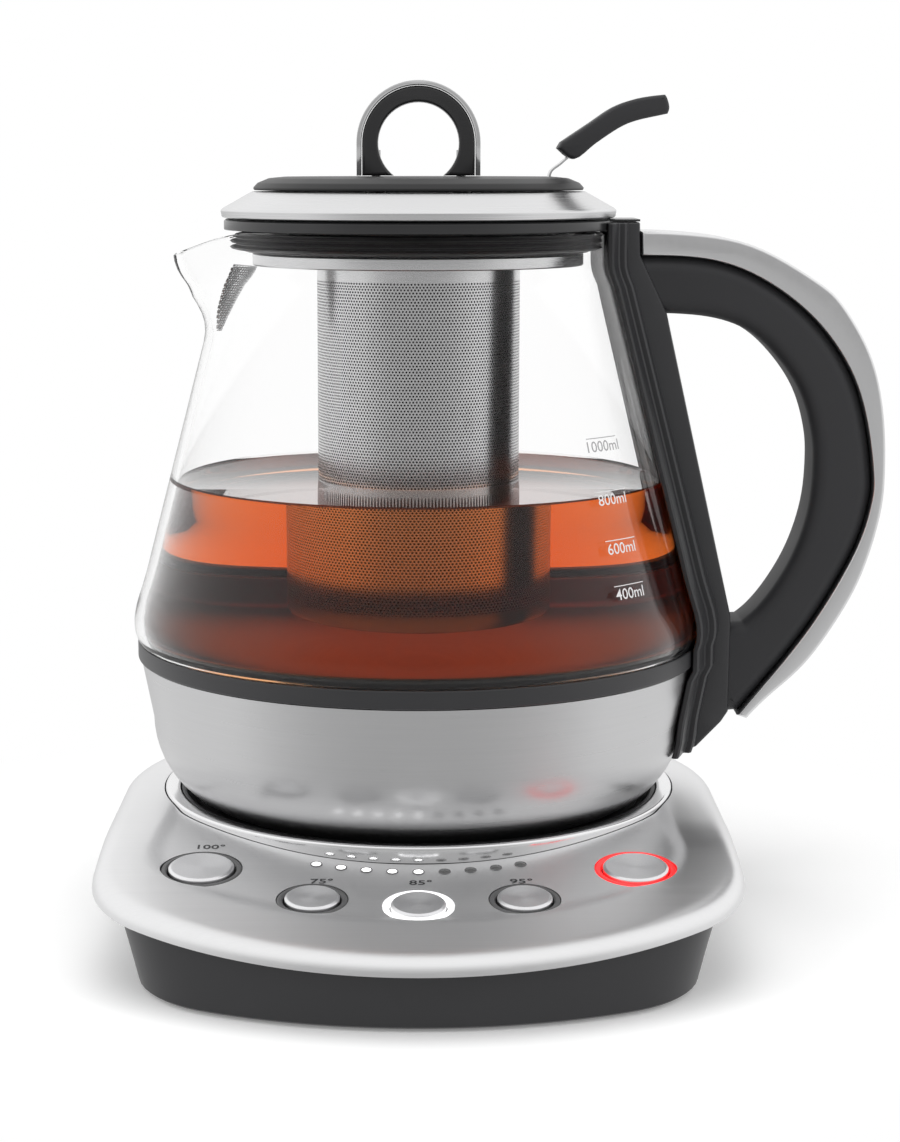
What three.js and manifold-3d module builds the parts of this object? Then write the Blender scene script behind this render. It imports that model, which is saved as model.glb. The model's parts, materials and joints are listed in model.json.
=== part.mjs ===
// Electric tea kettle: a glass jug with a steel bowl, a lid with an infuser, and a powered base with buttons.
// Millimetres, +Z up. Sizes are measured from the jug's axis and the surface that the base stands on, and the
// last lines move the whole object so that its bounding box stands centred on the origin.
import * as THREE from "three";
import { mergeVertices } from "three/addons/utils/BufferGeometryUtils.js";
import Module from "manifold-3d";

const wasm = await Module();
wasm.setup();

// Clearances that every piece shares
const fit = 0.3; // between pieces that touch or slide
const overrun = 2; // how far a cut runs past what it cuts
const sheet = 1; // steel sheet
const wall = 2.2; // moulded plastic wall

// Facets round a full turn, by the size of the piece
const wide = 40;
const middle = 28;
const small = 14;
const tiny = 8;
const arcSteps = 10; // facets of a half circle in an outline
const weld = 0.0005; // corners closer than this are one corner

// Powered base, seen from above: round behind the jug, straight sides, a bowed front with round corners
const plateWidth = 172;
const plateFront = 131; // from the jug's axis forward to the edge
const plateFrontRadius = 115;
const plateCorner = 38;
const plateOverhang = 6; // past the skirt at the sides
const plateOverhangFront = 5;
const skirtTaper = 6.5; // the skirt draws in by this much at each side
const skirtTaperFront = 2;
const skirtTopWidth = plateWidth - plateOverhang * 2;
const skirtTopFront = plateFront - plateOverhangFront;
const skirtFootWidth = skirtTopWidth - skirtTaper * 2;
const skirtFootFront = skirtTopFront - skirtTaperFront;
const skirtFrontRadius = 125;
const skirtCorner = 34;
const skirtFootHeight = 1.5;
const deckHeight = 32.5; // level steel deck round the dock
const panelStart = 55; // the panel slopes down from here to the front
const panelDrop = 11.628; // the border lies this far below the deck at the front edge
const panelFall = panelDrop / (plateFront - panelStart);
const panelBlend = 12;
const dishDepth = 0.9; // the control zone lies this far below the panel's border
const dishSideBorder = 14;
const dishFrontBorder = 21;
const dishRear = 22;
const dishSoft = 7;
const edgeRoll = 7; // width of the plate's rolled edge
const edgeDrop = 4.4;
const plateSegments = 52;

// Dock, where the jug stands
const dockRingOuter = 74;
const dockRingWidth = 4.5;
const dockRingInner = dockRingOuter - dockRingWidth;
const dockRingProud = 0.8;
const dockRingTop = deckHeight + dockRingProud;
const dockRingChamfer = 0.8;
const dockDepth = 4.2;
const dockFloor = deckHeight - dockDepth;
const dockFloorThick = 2;
const dockFlatRadius = 58;
const dockRiseRadius = 64;
const dockRise = 1;
const ledgeWidth = 7;
const ledgeThick = 2.1;

// Power coupling between base and jug
const plugRadius = 14;
const plugRise = 12.7; // above the dock's floor
const plugTop = dockFloor + plugRise;
const plugFlangeWidth = 6;
const plugFlangeRadius = plugRadius + plugFlangeWidth;
const dockSocketPlay = 2.5;
const dockSocketHole = plugRadius + dockSocketPlay;
const plugFlangeThick = 1.7;
const plugSkirtDepth = 6;
const plugBore = 3;
const plugBoreDepth = 10;
const cupWall = 2.9;
const cupPlay = 0.6;
const cupHeadThick = 4.4;
const cupPin = 2.4;
const cupPinLength = 8.6;

// Buttons, wells and lamps of the panel: places are a radius from the jug's axis and an angle from its front
const capRadius = 7.2;
const capRadiusLarge = 8.75;
const capProud = 1;
const capDepth = 2.9;
const capChamfer = 0.5;
const capPlay = 0.35;
const stemRadius = 1.8;
const stemLength = 1;
const wellRing = 1.95; // width of the translucent ring round a cap
const ringProud = 0.1;
const ringStep = 0.55;
const ringStepWidth = 0.9;
const buttonReach = 25; // from the dock's ring to the middle of the three inner buttons
const buttonReachOuter = 22;
const buttonRadius = dockRingOuter + buttonReach;
const buttonRadiusOuter = dockRingOuter + buttonReachOuter;
const buttonTurn = 16;
const buttonTurnOuter = 36.6;
const switchWidth = 6;
const switchHeight = 3.5;
const switchPlay = 1.3; // left for the cap's travel
const lampReach = 5; // from the dock's ring
const lampRadius = dockRingOuter + lampReach;
const lampCount = 9;
const lampTurn = 5;
const lampPip = 1.2;
const lampProud = 0.15;
const lampBar = 3;
const lampBarThick = 1.5;

// Inside the base
const boardMargin = 0.26; // past the switches
const boardThick = 1.6;
const boardPostRadius = 2.5;
const boardPostPlace = 42; // to each side of the middle
const boardPostAhead = 85; // from the jug's axis forward
const boardRear = 70; // from the jug's axis forward to the board's rear edge
const coverThick = 2;
const coverHeight = 1.8;
const footRadius = 6;
const footHeight = 1.5;
const footPeg = 1.9;
const footPegLength = 3.5;
const footChamfer = 0.4;
const footTurns = [50, 130, 228, 312];
const footPlace = 61;
const bossRadius = 3.2;
const bossInset = 0.2; // past the ledge's edge
const bossPlace = dockRingOuter - ledgeWidth + bossInset;
const bossTurns = [90, 210, 330];
const screwShank = 1.3;
const screwHead = 2.8;
const screwHeadThick = 1;
const screwLength = 12;
const glandRadius = 5;
const glandLength = 9;
const glandBore = 3.2;
const glandFlange = 1.5;
const glandFlangeExtra = 1.4;
const glandHeight = 12;

// Joins, cuts and closed surfaces

// One closed surface whose faces point out, from any three.js geometry
function closed(geometry) {
  const bare = geometry.clone();
  for (const name of Object.keys(bare.attributes)) {
    if (name !== "position") bare.deleteAttribute(name);
  }
  const merged = mergeVertices(bare, weld);
  if (signedVolume(merged) < 0) {
    const index = merged.index.array;
    for (let i = 0; i < index.length; i += 3) [index[i + 1], index[i + 2]] = [index[i + 2], index[i + 1]];
  }
  return merged;
}

function signedVolume(geometry) {
  const [a, b, c] = [new THREE.Vector3(), new THREE.Vector3(), new THREE.Vector3()];
  const { position } = geometry.attributes;
  const index = geometry.index.array;
  let sum = 0;
  for (let i = 0; i < index.length; i += 3) {
    a.fromBufferAttribute(position, index[i]);
    b.fromBufferAttribute(position, index[i + 1]);
    c.fromBufferAttribute(position, index[i + 2]);
    sum += a.dot(b.cross(c));
  }
  return sum;
}

function solid(geometry) {
  const merged = closed(geometry);
  return new wasm.Manifold(
    new wasm.Mesh({
      numProp: 3,
      vertProperties: new Float32Array(merged.attributes.position.array),
      triVerts: new Uint32Array(merged.index.array),
    }),
  );
}

function geometryOf(manifold) {
  const mesh = manifold.getMesh();
  const count = mesh.vertProperties.length / mesh.numProp;
  const position = new Float32Array(count * 3);
  for (let i = 0; i < count; i++) {
    position.set(mesh.vertProperties.subarray(i * mesh.numProp, i * mesh.numProp + 3), i * 3);
  }
  const geometry = new THREE.BufferGeometry();
  geometry.setAttribute("position", new THREE.BufferAttribute(position, 3));
  geometry.setIndex(new THREE.BufferAttribute(new Uint32Array(mesh.triVerts), 1));
  return geometry;
}

// A geometry less every cutter
function cut(geometry, ...cutters) {
  return geometryOf(cutters.reduce((left, cutter) => left.subtract(solid(cutter)), solid(geometry)));
}

// Geometries joined into one
function join(geometry, ...others) {
  return geometryOf(others.reduce((all, other) => all.add(solid(other)), solid(geometry)));
}

// A profile of [radius, height] turned about the Z axis; it is closed on the axis or on itself
function turned(profile, segments) {
  const points = profile.map(([radius, height]) => new THREE.Vector2(radius, height));
  if (profile[0][0] > 0 || profile[profile.length - 1][0] > 0) points.push(points[0].clone());
  return new THREE.LatheGeometry(points, segments).rotateX(Math.PI / 2);
}

// A round bar along Z from one height to another
function bar(radius, low, high, segments) {
  return turned([[0, low], [radius, low], [radius, high], [0, high]], segments);
}

// A box from its low and high corners
function block([x0, y0, z0], [x1, y1, z1]) {
  const box = new THREE.BoxGeometry(x1 - x0, y1 - y0, z1 - z0);
  return box.translate((x0 + x1) / 2, (y0 + y1) / 2, (z0 + z1) / 2);
}

// An outline in X and Z given a width along Y, centred on Y = 0, with its edges rounded by the bevel
function slab(outline, width, bevel = 0, steps = 2) {
  const shape = outline instanceof THREE.Shape ? outline : new THREE.Shape(flatOutline(outline));
  const geometry = new THREE.ExtrudeGeometry(shape, {
    depth: width - bevel * 2,
    bevelEnabled: bevel > 0,
    bevelThickness: bevel,
    bevelSize: bevel,
    bevelOffset: -bevel,
    bevelSegments: steps,
    curveSegments: arcSteps,
  });
  return geometry.rotateX(Math.PI / 2).translate(0, width / 2 - bevel, 0);
}

// Rings of points joined into a closed tube: each ring joins the next and the last joins the first
function ringTube(rings) {
  const around = rings[0].length;
  const position = rings.flat(2);
  const index = [];
  rings.forEach((ring, i) => {
    const next = ((i + 1) % rings.length) * around;
    ring.forEach((_, k) => {
      const a = i * around + k;
      const b = i * around + ((k + 1) % around);
      const c = next + ((k + 1) % around);
      const d = next + k;
      index.push(a, b, c, a, c, d);
    });
  });
  const geometry = new THREE.BufferGeometry();
  geometry.setAttribute("position", new THREE.Float32BufferAttribute(position, 3));
  geometry.setIndex(index);
  return geometry;
}

// Rings of points joined in order, with the first and last ring filled in
function loft(asGiven) {
  const clockwise = THREE.ShapeUtils.isClockWise(flatOutline(asGiven[0]));
  const rings = asGiven.map((ring) => (clockwise ? [...ring].reverse() : ring));
  const around = rings[0].length;
  const position = rings.flat(2);
  const index = [];
  for (let i = 0; i + 1 < rings.length; i++) {
    for (let k = 0; k < around; k++) {
      const a = i * around + k;
      const b = i * around + ((k + 1) % around);
      index.push(a, b, b + around, a, b + around, a + around);
    }
  }
  const caps = THREE.ShapeUtils.triangulateShape(flatOutline(rings[0]), []);
  const last = (rings.length - 1) * around;
  for (const [a, b, c] of caps) index.push(a, c, b, last + a, last + b, last + c);
  const geometry = new THREE.BufferGeometry();
  geometry.setAttribute("position", new THREE.Float32BufferAttribute(position, 3));
  geometry.setIndex(index);
  return geometry;
}

function flatOutline(ring) {
  return ring.map(([x, y]) => new THREE.Vector2(x, y));
}

// A flat outline given a height along Z
function extruded(outline, depth) {
  return new THREE.ExtrudeGeometry(new THREE.Shape(outline), { depth, bevelEnabled: false });
}

// A straight rise from 0 to 1 with soft ends
function ease(value) {
  return THREE.MathUtils.smoothstep(value, 0, 1);
}

const radians = THREE.MathUtils.degToRad;

// Plans of the base: the distance from the jug's axis to the edge, by direction
function planEdge({ width, front, frontRadius, corner }) {
  const side = width / 2;
  const reach = frontRadius - corner;
  const cornerX = side - corner;
  const frontY = frontRadius - front;
  const cornerY = frontY - Math.sqrt(reach * reach - cornerX * cornerX);
  const turn = Math.atan2(frontY - cornerY, cornerX);
  const path = new THREE.Path();
  path.absarc(0, 0, side, 0, Math.PI);
  path.absarc(-cornerX, cornerY, corner, Math.PI, Math.PI + turn);
  path.absarc(0, frontY, frontRadius, Math.PI + turn, -turn);
  path.absarc(cornerX, cornerY, corner, -turn, 0);
  const points = path.getPoints(middle).map(({ x, y }) => ({ x, y, turn: fullTurn(Math.atan2(y, x)) }));
  points.sort((a, b) => a.turn - b.turn);
  const first = points[0];
  const last = points[points.length - 1];
  points.unshift({ ...last, turn: last.turn - Math.PI * 2 });
  points.push({ ...first, turn: first.turn + Math.PI * 2 });
  return (angle) => {
    const i = points.findIndex((p) => p.turn >= fullTurn(angle));
    const [a, b] = [points[i - 1], points[i]];
    const across = Math.cos(angle) * (b.y - a.y) - Math.sin(angle) * (b.x - a.x);
    return across === 0 ? Math.hypot(b.x, b.y) : (a.x * b.y - a.y * b.x) / across;
  };
}

// An angle brought into one turn
function fullTurn(angle) {
  return ((angle % (Math.PI * 2)) + Math.PI * 2) % (Math.PI * 2);
}

const plateEdge = planEdge({
  width: plateWidth, front: plateFront, frontRadius: plateFrontRadius, corner: plateCorner });
const skirtTopEdge = planEdge({
  width: skirtTopWidth, front: skirtTopFront, frontRadius: skirtFrontRadius, corner: skirtCorner });
const skirtFootEdge = planEdge({
  width: skirtFootWidth, front: skirtFootFront, frontRadius: skirtFrontRadius, corner: skirtCorner });

// Height of the border of the steel plate: level behind, then falling to the front
function borderHeight(y) {
  const run = -y - panelStart;
  if (run <= -panelBlend) return deckHeight;
  if (run >= panelBlend) return deckHeight - panelFall * run;
  return deckHeight - (panelFall * (run + panelBlend) ** 2) / (4 * panelBlend);
}

// Depth of the shallow dish that holds the controls
function dishAt(x, y) {
  const reach = Math.hypot(x, y);
  const edge = plateEdge(Math.atan2(y, x));
  const ahead = Math.max(0, -y / reach);
  const border = dishSideBorder + (dishFrontBorder - dishSideBorder) * ahead;
  return dishDepth * ease((edge - border - reach) / dishSoft) * ease((-y - dishRear) / (dishSoft * 2));
}

function plateHeight(x, y) {
  return borderHeight(y) - dishAt(x, y);
}

// A ring round the base: a distance from the axis and a height, each a function of direction and place
function baseRing(reachAt, heightAt) {
  return Array.from({ length: plateSegments }, (_, k) => {
    const angle = (k / plateSegments) * Math.PI * 2;
    const reach = reachAt(angle);
    const [x, y] = [reach * Math.cos(angle), reach * Math.sin(angle)];
    return [x, y, heightAt(x, y)];
  });
}

const root = new THREE.Group();
const kettle = new THREE.Group();
root.add(kettle);

// Materials, by what each piece is made of
const finishes = {
  brushed: { color: 0xb9bcbe, roughness: 0.34, metalness: 1 },
  polished: { color: 0xd9dbdc, roughness: 0.15, metalness: 1 },
  black: { color: 0x2b2b2c, roughness: 0.5, metalness: 0 },
  soft: { color: 0x333334, roughness: 0.7, metalness: 0 },
  rubber: { color: 0x1d1d1e, roughness: 0.85, metalness: 0 },
  glass: { color: 0xeef3f3, roughness: 0.04, metalness: 0, transparent: true, opacity: 0.3 },
  clear: { color: 0xf4f1ee, roughness: 0.25, metalness: 0 },
  aluminium: { color: 0xc4c6c8, roughness: 0.3, metalness: 1 },
  board: { color: 0x1f5c36, roughness: 0.6, metalness: 0 },
  zinc: { color: 0x9a9c9e, roughness: 0.4, metalness: 1 },
};

function add(name, finish, geometry, parent = kettle) {
  const mesh = new THREE.Mesh(closed(geometry), new THREE.MeshStandardMaterial(finishes[finish]));
  mesh.name = name;
  parent.add(mesh);
  return mesh;
}

// Base: places on the panel
const panelTilt = Math.atan(panelFall);
const plateHole = dockRingOuter + fit;
const deckGap = sheet + dishDepth + fit; // from the plate's border down to the housing's deck

function onPanel(reach, degrees) {
  const turn = radians(degrees);
  const [x, y] = [reach * Math.sin(turn), -reach * Math.cos(turn)];
  return { x, y, z: plateHeight(x, y) };
}

const buttons = [
  { name: "hot_water", turn: -buttonTurnOuter, reach: buttonRadiusOuter, cap: capRadiusLarge },
  { name: "low", turn: -buttonTurn, reach: buttonRadius, cap: capRadius },
  { name: "middle", turn: 0, reach: buttonRadius, cap: capRadius },
  { name: "high", turn: buttonTurn, reach: buttonRadius, cap: capRadius },
  { name: "power", turn: buttonTurnOuter, reach: buttonRadiusOuter, cap: capRadiusLarge },
].map((button) => ({ ...button, place: onPanel(button.reach, button.turn) }));
const middleOfPanel = buttons[2].place; // the board and the lamp bar are laid out from here
const lamps = Array.from({ length: lampCount }, (_, i) =>
  onPanel(lampRadius, (i - (lampCount - 1) / 2) * lampTurn));

// A group whose Z axis stands square to the panel at a place on it
function panelGroup({ x, y, z }) {
  const group = new THREE.Group();
  group.position.set(x, y, z);
  group.rotation.x = panelTilt;
  kettle.add(group);
  return group;
}

// Distance down the panel from its middle, for a distance along Y
function downPanel(y) {
  return (y - middleOfPanel.y) / Math.cos(panelTilt);
}

// A geometry made about the Z axis, moved to a place in the frame of the panel's middle
function inPanel(geometry, x, y) {
  const { x: x0, y: y0, z: z0 } = middleOfPanel;
  return geometry.translate(x, downPanel(y), 0).rotateX(panelTilt).translate(x0, y0, z0);
}

// A cutter square to the panel
function panelBar({ x, y, z }, radius, low, high, segments = small) {
  return bar(radius, low, high, segments).rotateX(panelTilt).translate(x, y, z);
}

// Height in the panel's frame of the housing's deck under the dish
const deckTop = -sheet - fit;
const deckBottom = deckTop - wall;
const stemEnd = -capDepth - stemLength;
const switchTop = stemEnd - switchPlay;
const boardTop = switchTop - switchHeight - fit;

function addPlate() {
  const rollShares = [[0, 0.97], [0.07, 0.45], [0.38, 0.1], [1, 0]];
  const top = rollShares.map(([inward, drop]) =>
    baseRing((angle) => plateEdge(angle) - edgeRoll * inward, (x, y) => borderHeight(y) - edgeDrop * drop));
  const under = rollShares.map(([inward, drop]) =>
    baseRing((angle) => plateEdge(angle) - sheet - edgeRoll * inward,
      (x, y) => borderHeight(y) - edgeDrop * drop - sheet * (1 - drop)));
  const inwardShares = [0.18, 0.34, 0.6, 1];
  const between = (share, inset) => (angle) => {
    const outer = plateEdge(angle) - inset;
    return outer + (plateHole - outer) * share;
  };
  const field = inwardShares.map((share) => baseRing(between(share, edgeRoll), plateHeight));
  const fieldUnder = inwardShares.map((share) =>
    baseRing(between(share, edgeRoll + sheet), (x, y) => plateHeight(x, y) - sheet));
  const plate = ringTube([...top, ...field, ...fieldUnder.reverse(), ...under.reverse()]);
  const wells = buttons.map(({ place, cap }) =>
    panelBar(place, cap + wellRing + fit, -sheet - overrun, overrun));
  const holes = lamps.map((place) => panelBar(place, lampPip + fit, -sheet - overrun, overrun, tiny));
  add("base_plate", "brushed", cut(plate, ...wells, ...holes));
}

const ledgeTop = dockFloor - dockFloorThick - fit;
const ledgeOuter = dockRingOuter + fit + wall;

function addHousing() {
  const deck = (x, y) => borderHeight(y) - deckGap;
  const deckUnder = (x, y) => deck(x, y) - wall;
  const at = (value) => () => value;
  const rings = [
    baseRing(skirtFootEdge, at(skirtFootHeight)),
    baseRing(skirtTopEdge, deckUnder),
    baseRing((angle) => skirtTopEdge(angle) - wall / 2, deck),
    baseRing(at(ledgeOuter), deck),
    baseRing(at(dockRingOuter + fit), deck),
    baseRing(at(dockRingOuter + fit), at(ledgeTop)),
    baseRing(at(dockRingOuter - ledgeWidth), at(ledgeTop)),
    baseRing(at(dockRingOuter - ledgeWidth), at(ledgeTop - ledgeThick)),
    baseRing(at(ledgeOuter), at(ledgeTop - ledgeThick)),
    baseRing(at(ledgeOuter + fit), deckUnder),
    baseRing((angle) => skirtTopEdge(angle) - wall, deckUnder),
    baseRing((angle) => skirtFootEdge(angle) - wall, at(skirtFootHeight)),
  ];
  const coverTop = coverHeight + coverThick;
  const through = -deckGap - wall - overrun;
  const bosses = bossTurns.map((turn) => bossAt(turn, bossRadius, coverTop + fit, ledgeTop - ledgeThick / 2));
  const pilots = bossTurns.map((turn) =>
    bossAt(turn, screwShank + fit, 0, coverHeight + screwLength + overrun, tiny));
  const wells = buttons.map(({ place, cap }) => panelBar(place, cap + capPlay, through, overrun));
  const holes = lamps.map((place) => panelBar(place, lampPip + fit, through, overrun, tiny));
  const gland = glandBar(glandRadius + fit, -overrun, glandLength + overrun);
  const posts = [-boardPostPlace, boardPostPlace].map((x) =>
    inPanel(bar(boardPostRadius, boardTop + fit, deckBottom + wall / 2, tiny), x, -boardPostAhead));
  const body = join(ringTube(rings), ...bosses, ...posts);
  add("base_housing", "black", cut(body, ...pilots, ...wells, ...holes, gland));
}

function bossAt(turn, radius, low, high, segments = tiny) {
  const [x, y] = placedAt(turn, bossPlace);
  return bar(radius, low, high, segments).translate(x, y, 0);
}

// A round bar along Y through the rear of the skirt
function glandBar(radius, low, high, segments = small) {
  const place = skirtFootWidth / 2 - wall * 2;
  return bar(radius, low, high, segments).rotateX(-Math.PI / 2).translate(0, place, glandHeight);
}

function addUnderside() {
  const inset = wall + fit;
  const top = coverHeight + coverThick;
  const outline = flatOutline(baseRing((angle) => skirtFootEdge(angle) - inset, () => 0));
  const plate = extruded(outline, coverThick).translate(0, 0, coverHeight);
  const feet = footTurns.map((turn) => placedAt(turn, footPlace));
  const pegs = feet.map(([x, y]) => bar(footPeg + fit, 0, top + overrun, tiny).translate(x, y, 0));
  const shanks = bossTurns.map((turn) => bossAt(turn, screwShank + fit, 0, top + overrun));
  const heads = bossTurns.map((turn) => bossAt(turn, screwHead + fit, 0, coverHeight + screwHeadThick + fit));
  add("base_bottom_cover", "black", cut(plate, ...pegs, ...shanks, ...heads));
  feet.forEach(([x, y], i) => {
    const profile = [
      [0, 0], [footRadius - footChamfer, 0], [footRadius, footChamfer], [footRadius, footHeight],
      [footPeg, footHeight], [footPeg, footHeight + footPegLength], [0, footHeight + footPegLength]];
    add("foot_" + (i + 1), "rubber", turned(profile, small).translate(x, y, 0));
  });
  bossTurns.forEach((turn, i) => add("base_screw_" + (i + 1), "zinc", bossScrew(turn)));
}

function placedAt(turn, reach) {
  const angle = radians(turn);
  return [reach * Math.cos(angle), reach * Math.sin(angle)];
}

function screwProfile(length) {
  return [
    [0, 0], [screwHead, 0], [screwHead, screwHeadThick], [screwShank, screwHeadThick], [screwShank, length],
    [0, length]];
}

function bossScrew(turn) {
  const [x, y] = placedAt(turn, bossPlace);
  return turned(screwProfile(screwLength), tiny).translate(x, y, coverHeight);
}

function addDock() {
  const ringFoot = dockFloor + fit;
  add("dock_ring", "polished", turned([
    [dockRingInner, ringFoot], [dockRingOuter, ringFoot], [dockRingOuter, dockRingTop - dockRingChamfer],
    [dockRingOuter - dockRingChamfer, dockRingTop], [dockRingInner + dockRingChamfer, dockRingTop],
    [dockRingInner, dockRingTop - dockRingChamfer]], wide));
  const lip = dockRingInner - fit;
  const under = dockFloor - dockFloorThick;
  const flangeTop = under - fit;
  const flangeLow = flangeTop - plugFlangeThick;
  const plugLowEnd = under - plugSkirtDepth;
  add("dock_pan", "black", turned([
    [dockSocketHole, dockFloor], [dockFlatRadius, dockFloor], [dockRiseRadius, dockFloor + dockRise],
    [lip - wall / 2, dockRingTop - fit * 2], [lip, dockRingTop - fit * 2], [lip, dockFloor],
    [dockRingOuter - fit, dockFloor], [dockRingOuter - fit, under], [dockSocketHole, under]], wide));
  add("power_plug", "black", turned([
    [0, plugTop - plugBoreDepth], [plugBore, plugTop - plugBoreDepth], [plugBore, plugTop],
    [plugRadius, plugTop], [plugRadius, flangeTop], [plugFlangeRadius, flangeTop],
    [plugFlangeRadius, flangeLow], [plugRadius, flangeLow], [plugRadius, plugLowEnd],
    [0, plugLowEnd]], small));
}

function addPanelParts() {
  buttons.forEach(({ name, place, cap }) => {
    const group = panelGroup(place);
    const inner = cap + capPlay;
    const outer = cap + wellRing;
    const step = outer - ringStepWidth;
    add("light_ring_" + name, "clear", turned([
      [inner, deckTop + fit], [outer, deckTop + fit], [outer, ringProud - ringStep],
      [step, ringProud - ringStep], [step, ringProud], [inner, ringProud]], small), group);
    add("button_" + name, "aluminium", turned([
      [0, capProud], [cap - capChamfer, capProud], [cap, capProud - capChamfer], [cap, -capDepth],
      [stemRadius, -capDepth], [stemRadius, stemEnd], [0, stemEnd]], small), group);
    const side = switchWidth / 2;
    const contact = block([-side, -side, switchTop - switchHeight], [side, side, switchTop]);
    add("switch_" + name, "black", contact, group);
  });
  const group = panelGroup(middleOfPanel);
  const barTop = deckBottom - fit;
  const span = radians(lampTurn * (lampCount - 1) / 2 + lampTurn / 2);
  const arc = (reach, from, to) => Array.from({ length: lampCount * 2 }, (_, i) => {
    const turn = from + ((to - from) * i) / (lampCount * 2 - 1);
    return new THREE.Vector2(reach * Math.sin(turn), downPanel(-reach * Math.cos(turn)));
  });
  const near = lampRadius - lampPip;
  const outline = [...arc(near, -span, span), ...arc(near + lampBar, span, -span)];
  const guide = extruded(outline, lampBarThick).translate(0, 0, barTop - lampBarThick);
  const pips = lamps.map(({ x, y }) =>
    bar(lampPip, barTop - lampBarThick / 2, lampProud, tiny).translate(x, downPanel(y), 0));
  add("lamp_guide", "clear", join(guide, ...pips), group);
  const rear = downPanel(-boardRear);
  const side = buttonRadiusOuter * Math.sin(radians(buttonTurnOuter)) + switchWidth / 2 + boardMargin;
  const front = -switchWidth / 2 - boardMargin;
  const board = block([-side, front, boardTop - boardThick], [side, rear, boardTop]);
  add("control_board", "board", board, group);
}

function addGland() {
  const inner = bar(glandRadius, 0, glandLength, small);
  const flange = bar(glandRadius + glandFlangeExtra, glandLength - glandFlange, glandLength, small);
  const bore = bar(glandBore, -overrun, glandLength + overrun, small);
  const place = skirtTopWidth / 2 - glandLength + glandFlange + fit;
  const gland = cut(join(inner, flange), bore).rotateX(-Math.PI / 2);
  add("cord_gland", "rubber", gland.translate(0, place, glandHeight));
}

addPlate();
addHousing();
addUnderside();
addDock();
addPanelParts();
addGland();

// Jug: glass, band, bowl and what heats it. Radii are from the jug's axis, heights from the surface below.
const bowlTop = 71.5;
const bandHeight = 5.1;
const glassWall = 2.4;
const glassFootHeight = bowlTop + fit + bandHeight + fit;
const glassFootRadius = 81;
const glassBellyProud = 1.1; // past the foot
const glassBellyRise = 3.8; // above the foot
const glassBelly = glassFootRadius + glassBellyProud;
const glassBellyHeight = glassFootHeight + glassBellyRise;
const glassShoulderInset = 3.7; // where the cone meets the belly's curve
const glassShoulderRise = 15;
const glassShoulder = glassBelly - glassShoulderInset;
const glassShoulderHeight = glassBellyHeight + glassShoulderRise;
const glassNeck = 55;
const glassRim = 193;
const glassNeckLength = 10; // its straight stretch
const glassNeckFlare = 2; // from the straight stretch out to the cone
const glassNeckCurve = 5.5; // height of that flare
const glassNeckHeight = glassRim - glassNeckLength;
const glassConeRadius = glassNeck + glassNeckFlare;
const glassConeHeight = glassNeckHeight - glassNeckCurve;
const glassSegments = 48;
const spoutReach = 14.6; // lip's tip beyond the neck
const spoutDrop = 6.4; // lip's tip below the rim
const spoutHalfTurn = 15; // degrees
const spoutRoot = 162; // the spout grows out of the cone from here up
const bandProud = 0.1; // past the glass
const bandRadius = glassFootRadius + bandProud;
const bandThick = 2.5;
const bandChamfer = 0.6;
const bowlStep = 0.9; // inside the band
const bowlRadius = bandRadius - bowlStep;
const bowlWall = 1.2;
const bowlSeat = 0.7; // above the dock's floor
const bowlFoot = dockFloor + bowlSeat;
const bowlBend = 25.5; // height of the bowl's curved corner
const bowlBendWidth = 23.6;
const bowlTaper = 3.3;
const bowlWaist = bowlRadius - bowlTaper;
const bowlOpening = 49.5;
const bowlSteps = 5;
const sealLap = 2.3; // up the inside of the glass
const sealTop = glassFootHeight + sealLap;
const sealWidth = 4.3;
const heaterDepth = 4; // below the bowl's edge
const heaterFloor = bowlTop - heaterDepth;
const heaterThick = 1.5;
const heaterRimHeight = 9.5;
const heaterRim = heaterFloor + heaterRimHeight;
const postRadius = 3;
const postPlace = 30;
const elementRadius = 42;
const elementTube = 3.3;
const elementTurn = 300; // degrees
const elementSteps = 24;
const elementLeg = 8;
const elementDrop = 0.8; // the tube hangs this far below the plate
const sensorRadius = 6;
const sensorDepth = 8;
const sensorStem = 3.5;
const sensorStemDepth = 5;
const coverRim = 1.8;

// Handle: a stepped spine against the glass, a grip that arches out from it and a steel strip over the grip
const spineProud = 2.4; // above the glass
const spineTop = glassRim + spineProud;
const spineFoot = 45.5;
const spineGap = 0.4; // between the spine and the glass
const spineSteps = [2.4, 4.6]; // the two stepped flanges stand this far off the glass
const spineTurns = [20, 14]; // and reach this far round it, in degrees
const spineBlock = 24; // width of the spine's middle
const spineHead = 6.8; // the middle's outer face stands this far off the neck at the top
const spineFaceTop = glassNeck + spineHead;
const spineFaceUpper = 69.6; // its outer face at the top and bottom of the hand's opening, and at its foot
const spineFaceLower = 89.4;
const spineFaceFoot = 80;
const openingDepth = 22.8; // the hand's opening, from the spine's lower face to the grip
const openingReach = spineFaceLower + openingDepth;
const openingTop = 170;
const openingFoot = 81.4;
const spineMouthTop = 0.5; // the spine's face bends this far above the opening's top
const spineMouthFoot = 2; // and this far above its foot
const spineFaceUpperHeight = openingTop + spineMouthTop;
const spineFaceLowerHeight = openingFoot + spineMouthFoot;
const gripWidth = 22;
const gripBevel = 3;
const gripThick = 16.6;
const gripTopThick = 16.2;
const gripFootDepth = 26.4;
const gripReach = openingReach + gripThick;
const gripTop = openingTop + gripTopThick;
const gripFoot = openingFoot - gripFootDepth;
const trimOverhang = 1; // past each side of the grip
const trimThick = 3.5;
const trimTopThick = 6.8;
const trimFootDepth = 2.4;
const trimWidth = gripWidth + trimOverhang * 2;
const trimReach = gripReach + trimThick;
const trimTop = gripTop + trimTopThick;
const trimFoot = gripFoot - trimFootDepth;
const trimBevel = 1;
const handleScrewHeight = 60;
const handleScrewLength = 9;
const handleScrewHead = 1.2;

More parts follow.
